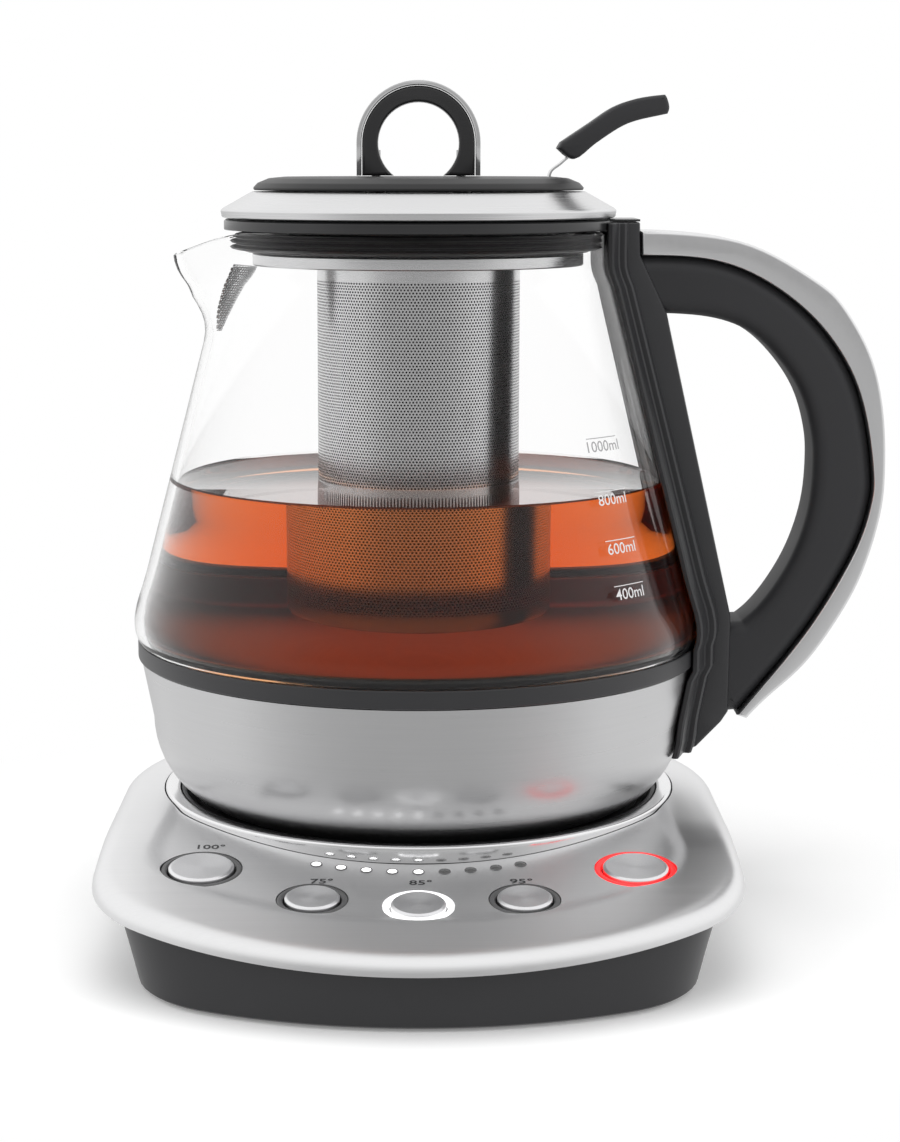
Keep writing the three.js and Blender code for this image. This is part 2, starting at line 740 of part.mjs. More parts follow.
// Outer radius of the jug at a height: bowl, band and glass
function bowlRadiusAt(z) {
  const bendTop = bowlFoot + bowlBend;
  if (z >= bendTop) return bowlWaist + (bowlRadius - bowlWaist) * ((z - bendTop) / (bowlTop - bendTop));
  const down = Math.min(1, (bendTop - z) / bowlBend);
  return bowlWaist - bowlBendWidth * (1 - Math.sqrt(1 - down * down));
}

const glassCurve = new THREE.CatmullRomCurve3([
  [glassFootRadius, glassFootHeight], [glassBelly, glassBellyHeight],
  [(glassBelly + glassShoulder) / 2 + fit, (glassBellyHeight + glassShoulderHeight) / 2],
  [glassShoulder, glassShoulderHeight],
].map(([x, z]) => new THREE.Vector3(x, 0, z)));

const glassOuter = [
  ...glassCurve.getPoints(4).map((p) => [p.x, p.z]),
  ...[0.3, 0.62, 0.82, 1].map((share) => [
    glassShoulder + (glassConeRadius - glassShoulder) * share,
    glassShoulderHeight + (glassConeHeight - glassShoulderHeight) * share]),
  [glassNeck + fit * 2, (glassConeHeight + glassNeckHeight) / 2],
  [glassNeck, glassNeckHeight],
  [glassNeck, (glassNeckHeight + glassRim) / 2],
  [glassNeck, glassRim],
];

function glassRadiusAt(z) {
  const i = glassOuter.findIndex(([, height]) => height >= z);
  if (i <= 0) return i < 0 ? glassNeck : glassOuter[0][0];
  const [[r0, z0], [r1, z1]] = [glassOuter[i - 1], glassOuter[i]];
  return r0 + ((r1 - r0) * (z - z0)) / (z1 - z0);
}

function jugRadiusAt(z) {
  if (z < bowlTop) return bowlRadiusAt(z);
  if (z < glassFootHeight) return bandRadius;
  return glassRadiusAt(z);
}

// The glass ring at a height, with the spout drawn out of it towards -X
function glassRing(radius, z) {
  return Array.from({ length: glassSegments }, (_, k) => {
    const turn = (k / glassSegments) * Math.PI * 2;
    const off = (turn - Math.PI) / radians(spoutHalfTurn);
    const near = Math.exp(-off * off);
    const rise = ease((z - spoutRoot) / (glassRim - spoutRoot));
    const reach = radius + spoutReach * near * rise;
    return [reach * Math.cos(turn), reach * Math.sin(turn), z - spoutDrop * near * rise];
  });
}

function addGlass() {
  const outer = glassOuter.map(([radius, z]) => glassRing(radius, z));
  const inner = glassOuter.map(([radius, z]) => glassRing(radius - glassWall, z)).reverse();
  add("glass_jug", "glass", ringTube([...outer, ...inner]));
}

const bandLow = bowlTop + fit;
const bandTop = glassFootHeight - fit;

function addBand() {
  const inner = bandRadius - bandThick;
  add("seat_band", "black", turned([
    [inner, bandLow], [bandRadius - bandChamfer, bandLow], [bandRadius, bandLow + bandChamfer],
    [bandRadius, bandTop], [inner, bandTop]], wide));
  const sealOuter = inner - fit;
  add("glass_seal", "rubber", turned([
    [sealOuter - sealWidth, bandLow], [sealOuter, bandLow], [sealOuter, sealTop - bandChamfer],
    [sealOuter - bandChamfer, sealTop], [sealOuter - sealWidth, sealTop]], middle));
}

function addBowl() {
  const outer = [[bowlRadius, bowlTop]];
  for (let i = 0; i <= bowlSteps; i++) {
    const turn = ((Math.PI / 2) * i) / bowlSteps;
    outer.push([
      bowlWaist - bowlBendWidth * (1 - Math.cos(turn)),
      bowlFoot + bowlBend * (1 - Math.sin(turn))]);
  }
  outer.push([bowlOpening, bowlFoot]);
  const inward = ([radius, z]) => [radius - bowlWall, Math.max(z, bowlFoot + bowlWall)];
  const inner = outer.slice(0, -1).reverse().map(inward);
  inner.unshift([bowlOpening, bowlFoot + bowlWall]);
  inner[inner.length - 1][1] = bowlTop;
  const bowl = turned([...outer, ...inner], wide);
  add("bowl_shell", "brushed", cut(bowl, handleBar(screwShank + fit, -bowlWall * 2 - fit, overrun)));
}

// A round bar along X through the bowl's wall under the handle, from one distance outside the wall to another
function handleBar(radius, from, to, segments = tiny) {
  const face = bowlRadiusAt(handleScrewHeight);
  const lying = bar(radius, face + from, face + to, segments).rotateY(Math.PI / 2);
  return lying.translate(0, 0, handleScrewHeight);
}

// A round bar at each post under the heater plate
function postBars(radius, low, high) {
  return postPlaces.map((x) => bar(radius, low, high, tiny).translate(x, 0, 0));
}

const postPlaces = [postPlace, -postPlace];
const heaterRimRadius = bandRadius - bandThick - fit - sealWidth - fit;
const coverTop = bowlFoot - fit - fit / 2 + coverThick;

function addHeater() {
  const under = heaterFloor - heaterThick;
  const inside = heaterRimRadius - heaterThick;
  const plate = turned([
    [0, under], [heaterRimRadius, under], [heaterRimRadius, heaterRim], [inside, heaterRim],
    [inside, heaterFloor], [0, heaterFloor]], middle);
  const posts = postBars(postRadius, coverTop + fit, under + heaterThick / 2);
  const pilots = postBars(screwShank + fit, 0, coverTop + screwLength + overrun);
  add("heater_plate", "brushed", cut(join(plate, ...posts), ...pilots));
  const level = under - elementDrop - elementTube;
  const span = radians(elementTurn);
  const points = Array.from({ length: elementSteps + 1 }, (_, i) => {
    const turn = -span / 2 + (span * i) / elementSteps;
    return new THREE.Vector3(elementRadius * Math.cos(turn), elementRadius * Math.sin(turn), level);
  });
  const leg = (p) => new THREE.Vector3(p.x, p.y, p.z - elementLeg);
  const path = new THREE.CatmullRomCurve3([leg(points[0]), ...points, leg(points[points.length - 1])]);
  const section = new THREE.Shape(Array.from({ length: tiny }, (_, i) => {
    const turn = (Math.PI * 2 * i) / tiny;
    return new THREE.Vector2(elementTube * Math.cos(turn), elementTube * Math.sin(turn));
  }));
  const settings = { steps: elementSteps, extrudePath: path, bevelEnabled: false };
  add("heating_element", "zinc", new THREE.ExtrudeGeometry(section, settings));
  const sensorTop = under - fit;
  const sensorLow = sensorTop - sensorDepth;
  const stemLow = sensorLow - sensorStemDepth;
  add("thermal_sensor", "zinc", turned([
    [0, sensorTop], [sensorRadius, sensorTop], [sensorRadius, sensorLow], [sensorStem, sensorLow],
    [sensorStem, stemLow], [0, stemLow]], small));
}

const cupInner = plugRadius + cupPlay;
const cupOuter = cupInner + cupWall;

function addJugUnderside() {
  const low = coverTop - coverThick;
  const cover = turned([
    [cupOuter + fit, low], [bowlOpening - fit, low], [bowlOpening - fit, coverTop],
    [cupOuter + fit + wall, coverTop], [cupOuter + fit + wall, coverTop + coverRim],
    [cupOuter + fit, coverTop + coverRim]], middle);
  const shanks = postBars(screwShank + fit, 0, coverTop + overrun);
  const heads = postBars(screwHead + fit, 0, low + screwHeadThick + fit);
  add("jug_base_cover", "black", cut(cover, ...shanks, ...heads));
  postPlaces.forEach((x, i) => {
    const screw = turned(screwProfile(screwLength), tiny);
    add("cover_screw_" + (i + 1), "zinc", screw.translate(x, 0, low + fit / 2));
  });
  const cupLow = dockFloor + fit + coverThick / 2;
  const head = plugTop + cupPlay;
  add("jug_connector", "black", turned([
    [cupInner, cupLow], [cupOuter, cupLow], [cupOuter, head + cupHeadThick], [0, head + cupHeadThick],
    [0, head - cupPinLength], [cupPin, head - cupPinLength], [cupPin, head], [cupInner, head]], small));
}

// One level section of the spine: the inner arc against the jug, then the steps out to the flat middle
function spineSection(z, face) {
  const [low, high] = spineSteps;
  const [wideTurn, nearTurn] = spineTurns;
  const jug = Math.max(jugRadiusAt(z), jugRadiusAt(z - fit), jugRadiusAt(z + fit));
  const base = (jug + spineGap) / Math.cos(radians(wideTurn / 2 / 2)); // the arc's facets clear the jug
  const rim = (reach, degrees) => [reach * Math.cos(radians(degrees)), reach * Math.sin(radians(degrees)), z];
  const side = spineBlock / 2;
  const outer = jug + high;
  const ringEdge = Math.sqrt(outer * outer - side * side);
  const middleFace = Math.max(face, ringEdge + fit);
  const right = [
    rim(base, wideTurn / 2), rim(base, wideTurn), rim(jug + low, wideTurn),
    rim(jug + low, nearTurn), rim(outer, nearTurn), [ringEdge, side, z], [middleFace, side, z]];
  const left = right.map(([x, y, height]) => [x, -y, height]).reverse();
  return [rim(base, 0), ...right, ...left];
}

function spineFaceAt(z) {
  const places = [
    [spineFoot, spineFaceFoot], [gripFoot, spineFaceLower - fit], [spineFaceLowerHeight, spineFaceLower],
    [spineFaceUpperHeight, spineFaceUpper], [gripTop, spineFaceTop + fit], [spineTop, spineFaceTop]];
  const i = Math.max(1, places.findIndex(([height]) => height >= z));
  const [[z0, x0], [z1, x1]] = [places[i - 1], places[i]];
  return x0 + ((x1 - x0) * (z - z0)) / (z1 - z0);
}

function addSpine() {
  const overBowl = [spineFoot, (spineFoot + gripFoot) / 2, gripFoot, (gripFoot + bowlTop) / 2, bowlTop - fit];
  const overGlass = [...glassOuter.map(([, z]) => z), gripTop].filter((z) => z < glassRim);
  overGlass.sort((a, b) => a - b);
  const heights = [...overBowl, bowlTop + fit, ...overGlass, spineTop];
  const spine = loft(heights.map((z) => spineSection(z, spineFaceAt(z))));
  add("handle_spine", "black", cut(spine, handleBar(screwShank + fit, 0, handleScrewLength + overrun)));
  const screw = turned([
    [0, 0], [screwHead, 0], [screwHead, handleScrewHead], [screwShank, handleScrewHead],
    [screwShank, handleScrewLength], [0, handleScrewLength]], tiny);
  const start = bowlRadiusAt(handleScrewHeight) - bowlWall - fit - handleScrewHead - fit;
  add("handle_screw", "zinc", screw.rotateY(Math.PI / 2).translate(start, 0, handleScrewHeight));
}

// Smooth outline through points
function smooth(points, steps) {
  return new THREE.CatmullRomCurve3(points.map(([x, z]) => new THREE.Vector3(x, 0, z)), false, "centripetal")
    .getPoints(steps).map((p) => [p.x, p.z]);
}

// Places within the box from one corner to the other, as shares of its width and height
function within([x0, z0], [x1, z1], shares) {
  return shares.map(([across, up]) => [x0 + (x1 - x0) * across, z0 + (z1 - z0) * up]);
}

const gripOuterShares = [
  [0, 1], [0.27, 0.995], [0.5, 0.955], [0.73, 0.87], [0.89, 0.76], [0.965, 0.65], [1, 0.53], [0.995, 0.47],
  [0.94, 0.37], [0.79, 0.23], [0.65, 0.13], [0.52, 0.05], [0.44, 0]];
const openingShares = [
  [0, 1], [0.29, 0.99], [0.54, 0.95], [0.73, 0.87], [0.9, 0.755], [0.985, 0.62], [1, 0.52], [0.98, 0.38],
  [0.885, 0.23], [0.745, 0.11], [0.62, 0.035], [0.53, 0]];

function addGrip() {
  const faceTop = spineFaceAt(gripTop);
  const outerPoints = within([faceTop + fit, gripFoot], [gripReach, gripTop], gripOuterShares);
  const outer = smooth(outerPoints, arcSteps * 2);
  const openingPoints = within([spineFaceUpper, openingFoot], [openingReach, openingTop], openingShares);
  const opening = smooth(openingPoints, arcSteps + arcSteps / 2);
  const low = [spineFaceAt(gripFoot) + fit, gripFoot];
  const lowMouth = [spineFaceAt(openingFoot) + fit, openingFoot];
  const highMouth = [spineFaceUpper + fit, openingTop];
  const outline = [...outer.slice(0, -1), low, lowMouth, ...opening.slice(1, -1).reverse(), highMouth];
  add("handle_grip", "soft", slab(outline, gripWidth, gripBevel));
  const trimOuterShares = [
    [0, 1], [0.17, 0.997], [0.44, 0.977], [0.71, 0.9], [0.81, 0.855], [0.925, 0.76], [0.98, 0.66], [1, 0.55],
    [0.995, 0.45], [0.92, 0.31], [0.815, 0.21], [0.69, 0.12], [0.545, 0.055], [0.46, 0.01]];
  const trimStart = spineFaceAt(trimTop) + fit;
  const strip = smooth(within([trimStart, trimFoot], [trimReach, trimTop], trimOuterShares), arcSteps * 2);
  const clearOfGrip = outer.map((_, i) => pushedOut(outer, i, fit));
  const trim = [...strip, ...clearOfGrip.reverse()];
  add("handle_trim", "brushed", slab(trim, trimWidth, trimBevel, 1));
}

// A point of an outline moved square to it
function pushedOut(points, i, distance) {
  const [x0, z0] = points[Math.max(0, i - 1)];
  const [x1, z1] = points[Math.min(points.length - 1, i + 1)];
  const length = Math.hypot(x1 - x0, z1 - z0);
  return [points[i][0] - (distance * (z0 - z1)) / -length, points[i][1] + (distance * (x1 - x0)) / length];
}

addGlass();
addBand();
addBowl();
addHeater();
addJugUnderside();
addSpine();
addGrip();

// Neck collar, lid, thumb lever, infuser and spout filter
const collarHeight = 3;
const lidLevel = glassRim + fit + collarHeight + fit;
const lidOverhang = 0.9; // past the neck
const lidRimRadius = glassNeck + lidOverhang;
const lidRimGap = 0.1; // above the lid's body
const lidRimLip = 2.2;
const lidRimRise = 5.1;
const lidRimLow = lidLevel + lidRimGap;
const lidRimWidest = lidRimLow + lidRimLip;
const lidRimTop = lidRimWidest + lidRimRise;
const lidRimCurl = 1.7;
const lidRimWidth = 9.2;
const topPlateRadius = lidRimRadius - lidRimWidth;
const topPlateThick = 4;
const topPlateTop = lidRimTop + topPlateThick;
const topPlateEdge = 4.7; // width of its rounded edge
const plugPlay = 4.2; // between the lid's plug and the inside of the neck, where the seal lies
const plugSide = glassNeck - glassWall - plugPlay;
const plugDepth = 5.9; // below the glass rim
const plugLow = glassRim - plugDepth;
const plugFloor = 2.9;
const plugShell = 3.9;
const sealPlay = 0.4;
const sealRib = glassNeck - glassWall - sealPlay;
const sealBodyThick = 1.8;
const sealBody = plugSide + sealBodyThick;
const sealGap = 0.6; // the seal's facets are coarser than the plug's
const ribCount = 3;
const ribPitch = 1.7;
const knobWidth = 10;
const knobBand = 1.3;
const knobHole = 11.4;
const knobThick = 6;
const knobRadius = knobHole + knobThick;
const knobRise = 9.3; // its centre above the top plate
const knobCentre = topPlateTop + knobRise;
const knobBevel = 0.7;
const knobScrewPlace = 12;
const knobScrewLength = 9;
const leverInset = 10.1; // where the strip enters the top plate, in from its edge
const leverPlace = topPlateRadius - leverInset;
const leverPin = 1;
const leverPinDepth = 1.7;
const leverPinHeight = topPlateTop - leverPinDepth;
const leverStrip = 0.6;
const leverStripWidth = 8;
const leverSlotWidth = 9.4;
const leverSlotReach = 2.2;
const leverGripWidth = 13;
const leverGripBevel = 1;
const leverGripGap = 2; // the thumb grip stands this far above the top plate
const leverGripRise = 20.5;
const leverGripInset = 2.4; // and starts this far out from the strip's foot
const leverGripLength = 31;
const leverLow = topPlateTop + leverGripGap;
const leverHigh = leverLow + leverGripRise;
const leverStart = leverPlace + leverGripInset;
const leverEnd = leverStart + leverGripLength;
const infuserTop = plugLow - fit;
const infuserInset = 1.7; // inside the lid's plug
const infuserCollar = plugSide - infuserInset;
const infuserCollarHeight = 3.4;
const infuserRadius = 28.8;
const infuserWall = 0.8;
const infuserRise = 12.5; // above the heater plate
const infuserFoot = heaterFloor + infuserRise;
const infuserFootCurve = 2.4;
const filterDepth = 6.5; // how far the spout's filter stands in from the glass
const filterHeight = 21.5;
const filterTop = infuserTop - infuserCollarHeight - fit * 2;
const filterHalfTurn = 11; // degrees
const filterSheet = 0.6;
const filterSteps = 6;
const filterRows = 4;
const filterTipShare = 0.15; // the tip is blunt by this share of its height

function addCollar() {
  const low = glassRim + fit;
  const high = low + collarHeight;
  const inner = glassNeck - glassWall;
  const ring = turned([
    [inner, low], [glassNeck, low], [glassNeck, high - fit * 2], [glassNeck - fit * 2, high],
    [inner, high]], wide);
  const tabSide = spineBlock / 2 - fit * 2;
  const tab = block([inner + fit, -tabSide, spineTop + fit], [spineFaceTop, tabSide, high]);
  add("neck_collar", "black", cut(join(ring, tab), bar(inner, low - overrun, high + overrun, wide)));
}

function addLid() {
  const slope = (lidRimTop - lidRimWidest) / (lidRimRadius - topPlateRadius);
  add("lid_rim", "brushed", turned([
    [topPlateRadius, lidRimTop], [lidRimRadius - sheet / 2, lidRimWidest + fit],
    [lidRimRadius, lidRimWidest - fit], [lidRimRadius - fit, lidRimLow + fit * 2],
    [lidRimRadius - lidRimCurl / 2, lidRimLow],
    [lidRimRadius - lidRimCurl, lidRimLow], [lidRimRadius - lidRimCurl, lidRimWidest - sheet],
    [topPlateRadius, lidRimTop - sheet]], wide));
  const plate = turned([
    [0, lidRimTop + fit], [topPlateRadius - fit / 2, lidRimTop + fit], [topPlateRadius, lidRimTop + sheet],
    [topPlateRadius - topPlateEdge / 4, topPlateTop - topPlateEdge / 2 + fit],
    [topPlateRadius - topPlateEdge / 2 - fit, topPlateTop - fit * 2],
    [topPlateRadius - topPlateEdge - overrun, topPlateTop], [0, topPlateTop]], wide);
  const slotSide = leverSlotWidth / 2;
  const slot = block(
    [leverPlace - leverPin - fit, -slotSide, leverPinHeight - leverPin - fit],
    [leverPlace + leverSlotReach, slotSide, topPlateTop + overrun]);
  const knobHoles = [-knobScrewPlace, knobScrewPlace].map((x) =>
    bar(screwShank + fit, lidRimTop - overrun, topPlateTop + overrun, tiny).translate(x, 0, 0));
  add("lid_top_plate", "black", cut(plate, slot, ...knobHoles));
  const edge = lidRimRadius - lidRimCurl - fit * 2;
  const shoulder = lidLevel + fit;
  const coneGap = sheet + fit * 2;
  const plugInside = plugSide - plugShell;
  add("lid_body", "black", turned([
    [0, plugLow], [plugSide - fit, plugLow], [plugSide, plugLow + fit], [plugSide, shoulder],
    [edge, shoulder], [edge, lidRimWidest - sheet - fit],
    [topPlateRadius - fit, lidRimTop - coneGap - slope * fit], [plugInside, lidRimTop - fit],
    [plugInside, plugLow + plugFloor], [0, plugLow + plugFloor]], wide));
  const seal = [[plugSide + sealGap, plugLow + fit * 2]];
  for (let i = 0; i < ribCount; i++) {
    const z = plugLow + fit * 2 + ribPitch * i;
    seal.push([sealBody, z], [sealRib, z + ribPitch / 2], [sealBody, z + ribPitch - fit]);
  }
  seal.push([plugSide + sealGap, plugLow + ribPitch * ribCount + fit * 2]);
  add("lid_seal", "rubber", turned(seal, middle));
}

function addKnob() {
  const foot = topPlateTop + fit;
  const core = knobRadius - knobBand - fit;
  const rise = foot - knobCentre;
  const mouth = Math.asin(rise / knobHole);
  const shape = new THREE.Shape();
  shape.moveTo(core, foot);
  shape.lineTo(core, knobCentre);
  shape.absarc(0, knobCentre, core, 0, Math.PI, false);
  shape.lineTo(-core, foot);
  shape.absarc(0, knobCentre, knobHole, Math.PI - mouth, mouth, true);
  const pilots = [-knobScrewPlace, knobScrewPlace].map((x) =>
    bar(screwShank + fit, 0, topPlateTop + knobScrewLength, tiny).translate(x, 0, 0));
  add("knob_core", "black", cut(slab(shape, knobWidth, knobBevel, 1), ...pilots));
  const band = new THREE.Shape();
  const inner = knobRadius - knobBand;
  band.moveTo(inner, foot);
  band.lineTo(knobRadius, foot);
  band.lineTo(knobRadius, knobCentre);
  band.absarc(0, knobCentre, knobRadius, 0, Math.PI, false);
  band.lineTo(-knobRadius, foot);
  band.lineTo(-inner, foot);
  band.lineTo(-inner, knobCentre);
  band.absarc(0, knobCentre, inner, Math.PI, 0, true);
  add("knob_band", "polished", slab(band, knobWidth + knobBevel));
  [-knobScrewPlace, knobScrewPlace].forEach((x, i) => {
    const length = topPlateTop + knobScrewLength - lidRimTop - fit * 2;
    const screw = turned(screwProfile(length), tiny);
    add("knob_screw_" + (i + 1), "zinc", screw.translate(x, 0, lidRimTop - screwHeadThick));
  });
}

// The thumb lever's strip climbs from its pin into the grip
const stripShares = [[0, 0], [0.02, 0.13], [0.1, 0.22], [0.2, 0.33], [0.42, 0.53], [0.6, 0.7]];
const stripEntry = 2; // the last of its points outside the grip
const gripUpperShares = [
  [0.03, 0.37], [0.29, 0.63], [0.5, 0.84], [0.7, 0.95], [0.92, 1], [0.97, 0.985], [1, 0.84], [0.985, 0.75]];
const gripLowerShares = [[0.89, 0.72], [0.7, 0.655], [0.55, 0.56], [0.34, 0.35], [0.15, 0.14], [0, 0.29]];

function stripOutline(thickness, from = 0) {
  const line = within([leverPlace, leverPinHeight], [leverEnd, leverHigh], stripShares).slice(from);
  const up = line.map((_, i) => pushedOut(line, i, thickness / 2));
  const down = line.map((_, i) => pushedOut(line, i, -thickness / 2));
  return [...up, ...down.reverse()];
}

function addLever() {
  const pin = bar(leverPin, -leverStripWidth / 2, leverStripWidth / 2, tiny).rotateX(Math.PI / 2);
  const strip = slab(stripOutline(leverStrip), leverStripWidth);
  add("lever_strip", "brushed", join(strip, pin.translate(leverPlace, 0, leverPinHeight)));
  const box = [[leverStart, leverLow], [leverEnd, leverHigh]];
  const outline = [...within(...box, gripUpperShares), ...within(...box, gripLowerShares)];
  const slot = slab(stripOutline(leverStrip + fit * 2, stripEntry), leverStripWidth + fit * 2);
  const [tipX, tipZ] = stripOutline(leverStrip)[stripShares.length - 1];
  const side = leverStripWidth / 2 + fit;
  const end = block([tipX - fit, -side, tipZ - fit * 2], [tipX + fit, side, tipZ + fit]);
  add("lever_grip", "soft", cut(slab(outline, leverGripWidth, leverGripBevel, 1), slot, end));
}

function addInfuser() {
  const neckLow = infuserTop - infuserCollarHeight;
  const mouth = infuserRadius - infuserWall;
  add("infuser_collar", "brushed", turned([
    [infuserRadius + fit, neckLow], [infuserCollar - fit, neckLow], [infuserCollar, neckLow + fit],
    [infuserCollar, infuserTop - fit], [infuserCollar - fit, infuserTop], [mouth, infuserTop],
    [mouth, infuserTop - sheet], [infuserRadius + fit, infuserTop - sheet]], middle));
  const rim = infuserTop - sheet - fit;
  const bend = infuserFoot + infuserFootCurve;
  const floor = infuserFoot + infuserWall;
  add("infuser_basket", "brushed", turned([
    [0, infuserFoot], [infuserRadius - infuserFootCurve, infuserFoot], [infuserRadius, bend],
    [infuserRadius, rim], [mouth, rim], [mouth, bend + infuserWall], [mouth - infuserFootCurve, floor],
    [0, floor]], middle));
}

// A half cone of mesh that stands inside the spout's root
function addFilter() {
  const section = (share, inset) => {
    const z = filterTop - filterHeight * share;
    const drop = 1 - share;
    const wallAt = (glassRadiusAt(z) - glassWall - fit) / Math.cos(radians(filterHalfTurn / 2));
    const points = [];
    for (let i = 0; i <= filterSteps; i++) {
      const off = (i / filterSteps) * 2 - 1;
      const turn = Math.PI + radians(filterHalfTurn) * off * Math.max(drop, filterTipShare);
      const reach = wallAt - filterDepth * drop * (1 - off * off) - inset - fit;
      points.push([reach * Math.cos(turn), reach * Math.sin(turn), z]);
    }
    return points;
  };
  const rings = Array.from({ length: filterRows + 1 }, (_, i) => {
    const share = (i / filterRows) * (1 - filterTipShare);
    return [...section(share, 0), ...section(share, filterSheet).reverse()];
  });
  add("spout_filter", "brushed", loft(rings));
}

addCollar();
addLid();
addKnob();
addLever();
addInfuser();
addFilter();

// The object stands centred on the origin
const bounds = new THREE.Box3().setFromObject(kettle);
const centre = bounds.getCenter(new THREE.Vector3());
kettle.position.set(-centre.x, -centre.y, -bounds.min.z);

export default root;
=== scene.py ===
"""Electric tea kettle on its powered base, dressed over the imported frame.

Pieces are built in millimetres about the jug's axis, with z up from the surface, and then moved into the
part's frame in metres. Names ending in _R are radii and names ending in _Z are heights.
"""

import json
import math

import bmesh
import bpy
from mathutils import Matrix, Vector
from mathutils.geometry import tessellate_polygon


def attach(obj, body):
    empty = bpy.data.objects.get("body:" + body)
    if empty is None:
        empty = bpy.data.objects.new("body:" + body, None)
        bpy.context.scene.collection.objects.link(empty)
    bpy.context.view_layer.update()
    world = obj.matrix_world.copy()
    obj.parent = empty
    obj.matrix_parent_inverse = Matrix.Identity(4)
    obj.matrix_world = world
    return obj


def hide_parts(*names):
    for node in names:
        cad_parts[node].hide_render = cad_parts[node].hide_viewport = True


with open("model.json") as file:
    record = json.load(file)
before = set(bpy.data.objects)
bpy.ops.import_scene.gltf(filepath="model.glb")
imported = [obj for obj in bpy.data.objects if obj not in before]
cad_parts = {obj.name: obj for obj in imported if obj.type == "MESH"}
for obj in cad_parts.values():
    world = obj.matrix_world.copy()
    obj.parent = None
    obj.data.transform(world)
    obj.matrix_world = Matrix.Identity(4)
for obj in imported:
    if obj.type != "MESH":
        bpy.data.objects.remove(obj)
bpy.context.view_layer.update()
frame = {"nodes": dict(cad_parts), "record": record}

AXIS_X, AXIS_Y = -23.186, 22.5  # the jug's axis in the part's frame
MM = 0.001
TAU = math.tau


def to_frame(point):
    x, y, z = point
    return ((x + AXIS_X) * MM, (y + AXIS_Y) * MM, z * MM)


def polar(reach, turn):
    return (reach * math.cos(turn), reach * math.sin(turn))


# Mesh building


def in_scene(name, data):
    """A new object in the scene that shows the mesh, text, lamp or camera."""
    piece = bpy.data.objects.new(name, data)
    bpy.context.scene.collection.objects.link(piece)
    return piece


def final_mesh(piece):
    """A new mesh of what the object is with its modifiers, or of its text."""
    bpy.context.view_layer.update()
    evaluated = piece.evaluated_get(bpy.context.evaluated_depsgraph_get())
    return bpy.data.meshes.new_from_object(evaluated)


def loose(name, verts, faces):
    """An object from vertices in millimetres about the jug's axis."""
    mesh = bpy.data.meshes.new(name)
    mesh.from_pydata([to_frame(v) for v in verts], [], faces)
    return in_scene(name, mesh)


def make(name, verts, faces, body, material, slot=None, replaces=(), smooth=30):
    """A finished piece from vertices in millimetres about the jug's axis. Its body carries it."""
    piece = loose(name, verts, faces)
    mesh = piece.data
    mesh.validate()
    face_out(mesh)
    mesh.materials.append(material)
    if smooth is not None:
        round_off(mesh, smooth)
    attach(piece, body)
    if replaces:
        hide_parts(*replaces)
    return piece


def face_out(mesh):
    """Turns every face of the mesh outwards."""
    work = bmesh.new()
    work.from_mesh(mesh)
    bmesh.ops.recalc_face_normals(work, faces=work.faces)
    work.to_mesh(mesh)
    work.free()
    mesh.update()


def round_off(mesh, angle):
    """Smooth shading, but for edges sharper than the angle in degrees."""
    mesh.polygons.foreach_set("use_smooth", [True] * len(mesh.polygons))
    mesh.set_sharp_from_angle(angle=math.radians(angle))


def fillet(points, radius, steps=4):
    """The closed outline with its corners rounded. radius is one number, or one for each point."""
    radii = radius if isinstance(radius, list) else [radius] * len(points)
    out = []
    for i, (here, r) in enumerate(zip(points, radii)):
        here = Vector(here)
        a, b = Vector(points[i - 1]) - here, Vector(points[(i + 1) % len(points)]) - here
        angle = a.angle(b, math.pi)
        if r <= 0 or angle > math.radians(176):
            out.append(tuple(here))
            continue
        reach = min(r / math.tan(angle / 2), a.length * 0.49, b.length * 0.49)
        start, end = here + a.normalized() * reach, here + b.normalized() * reach
        for k in range(steps + 1):
            t = k / steps
            out.append(tuple(start * (1 - t) ** 2 + here * 2 * t * (1 - t) + end * t**2))
    return out


def lathe_mesh(profile, segments):
    """Vertices and faces of a closed profile of (radius, height) turned about the Z axis."""
    verts, faces, rows = [], [], []
    for r, z in profile:
        if r < 1e-6:
            rows.append([len(verts)])
            verts.append((0, 0, z))
        else:
            rows.append(list(range(len(verts), len(verts) + segments)))
            verts += [(*polar(r, TAU * k / segments), z) for k in range(segments)]
    for i, row in enumerate(rows):
        other = rows[(i + 1) % len(rows)]
        if len(row) == 1 and len(other) == 1:
            continue
        for k in range(segments):
            n = (k + 1) % segments
            if len(row) == 1:
                faces.append((row[0], other[n], other[k]))
            elif len(other) == 1:
                faces.append((row[k], row[n], other[0]))
            else:
                faces.append((row[k], row[n], other[n], other[k]))
    return verts, faces


def rod(radius, low, high, segments):
    return lathe_mesh([(0, low), (radius, low), (radius, high), (0, high)], segments)


def lathe(name, profile, body, material, slot=None, replaces=(), segments=216, smooth=30):
    return make(name, *lathe_mesh(profile, segments), body, material, slot, replaces, smooth)


def tube(rings, closed=True):
    """Faces that join rings of points, the last to the first if it is closed."""
    around = len(rings[0])
    verts = [p for ring in rings for p in ring]
    faces = []
    for i in range(len(rings) if closed else len(rings) - 1):
        j = (i + 1) % len(rings)
        for k in range(around):
            n = (k + 1) % around
            faces.append((i * around + k, i * around + n, j * around + n, j * around + k))
    if not closed:
        for start, ring in ((0, rings[0]), (len(verts) - around, rings[-1])):
            triangles = tessellate_polygon([[Vector(p) for p in ring]])
            faces += [tuple(start + i for i in triangle) for triangle in triangles]
    return verts, faces


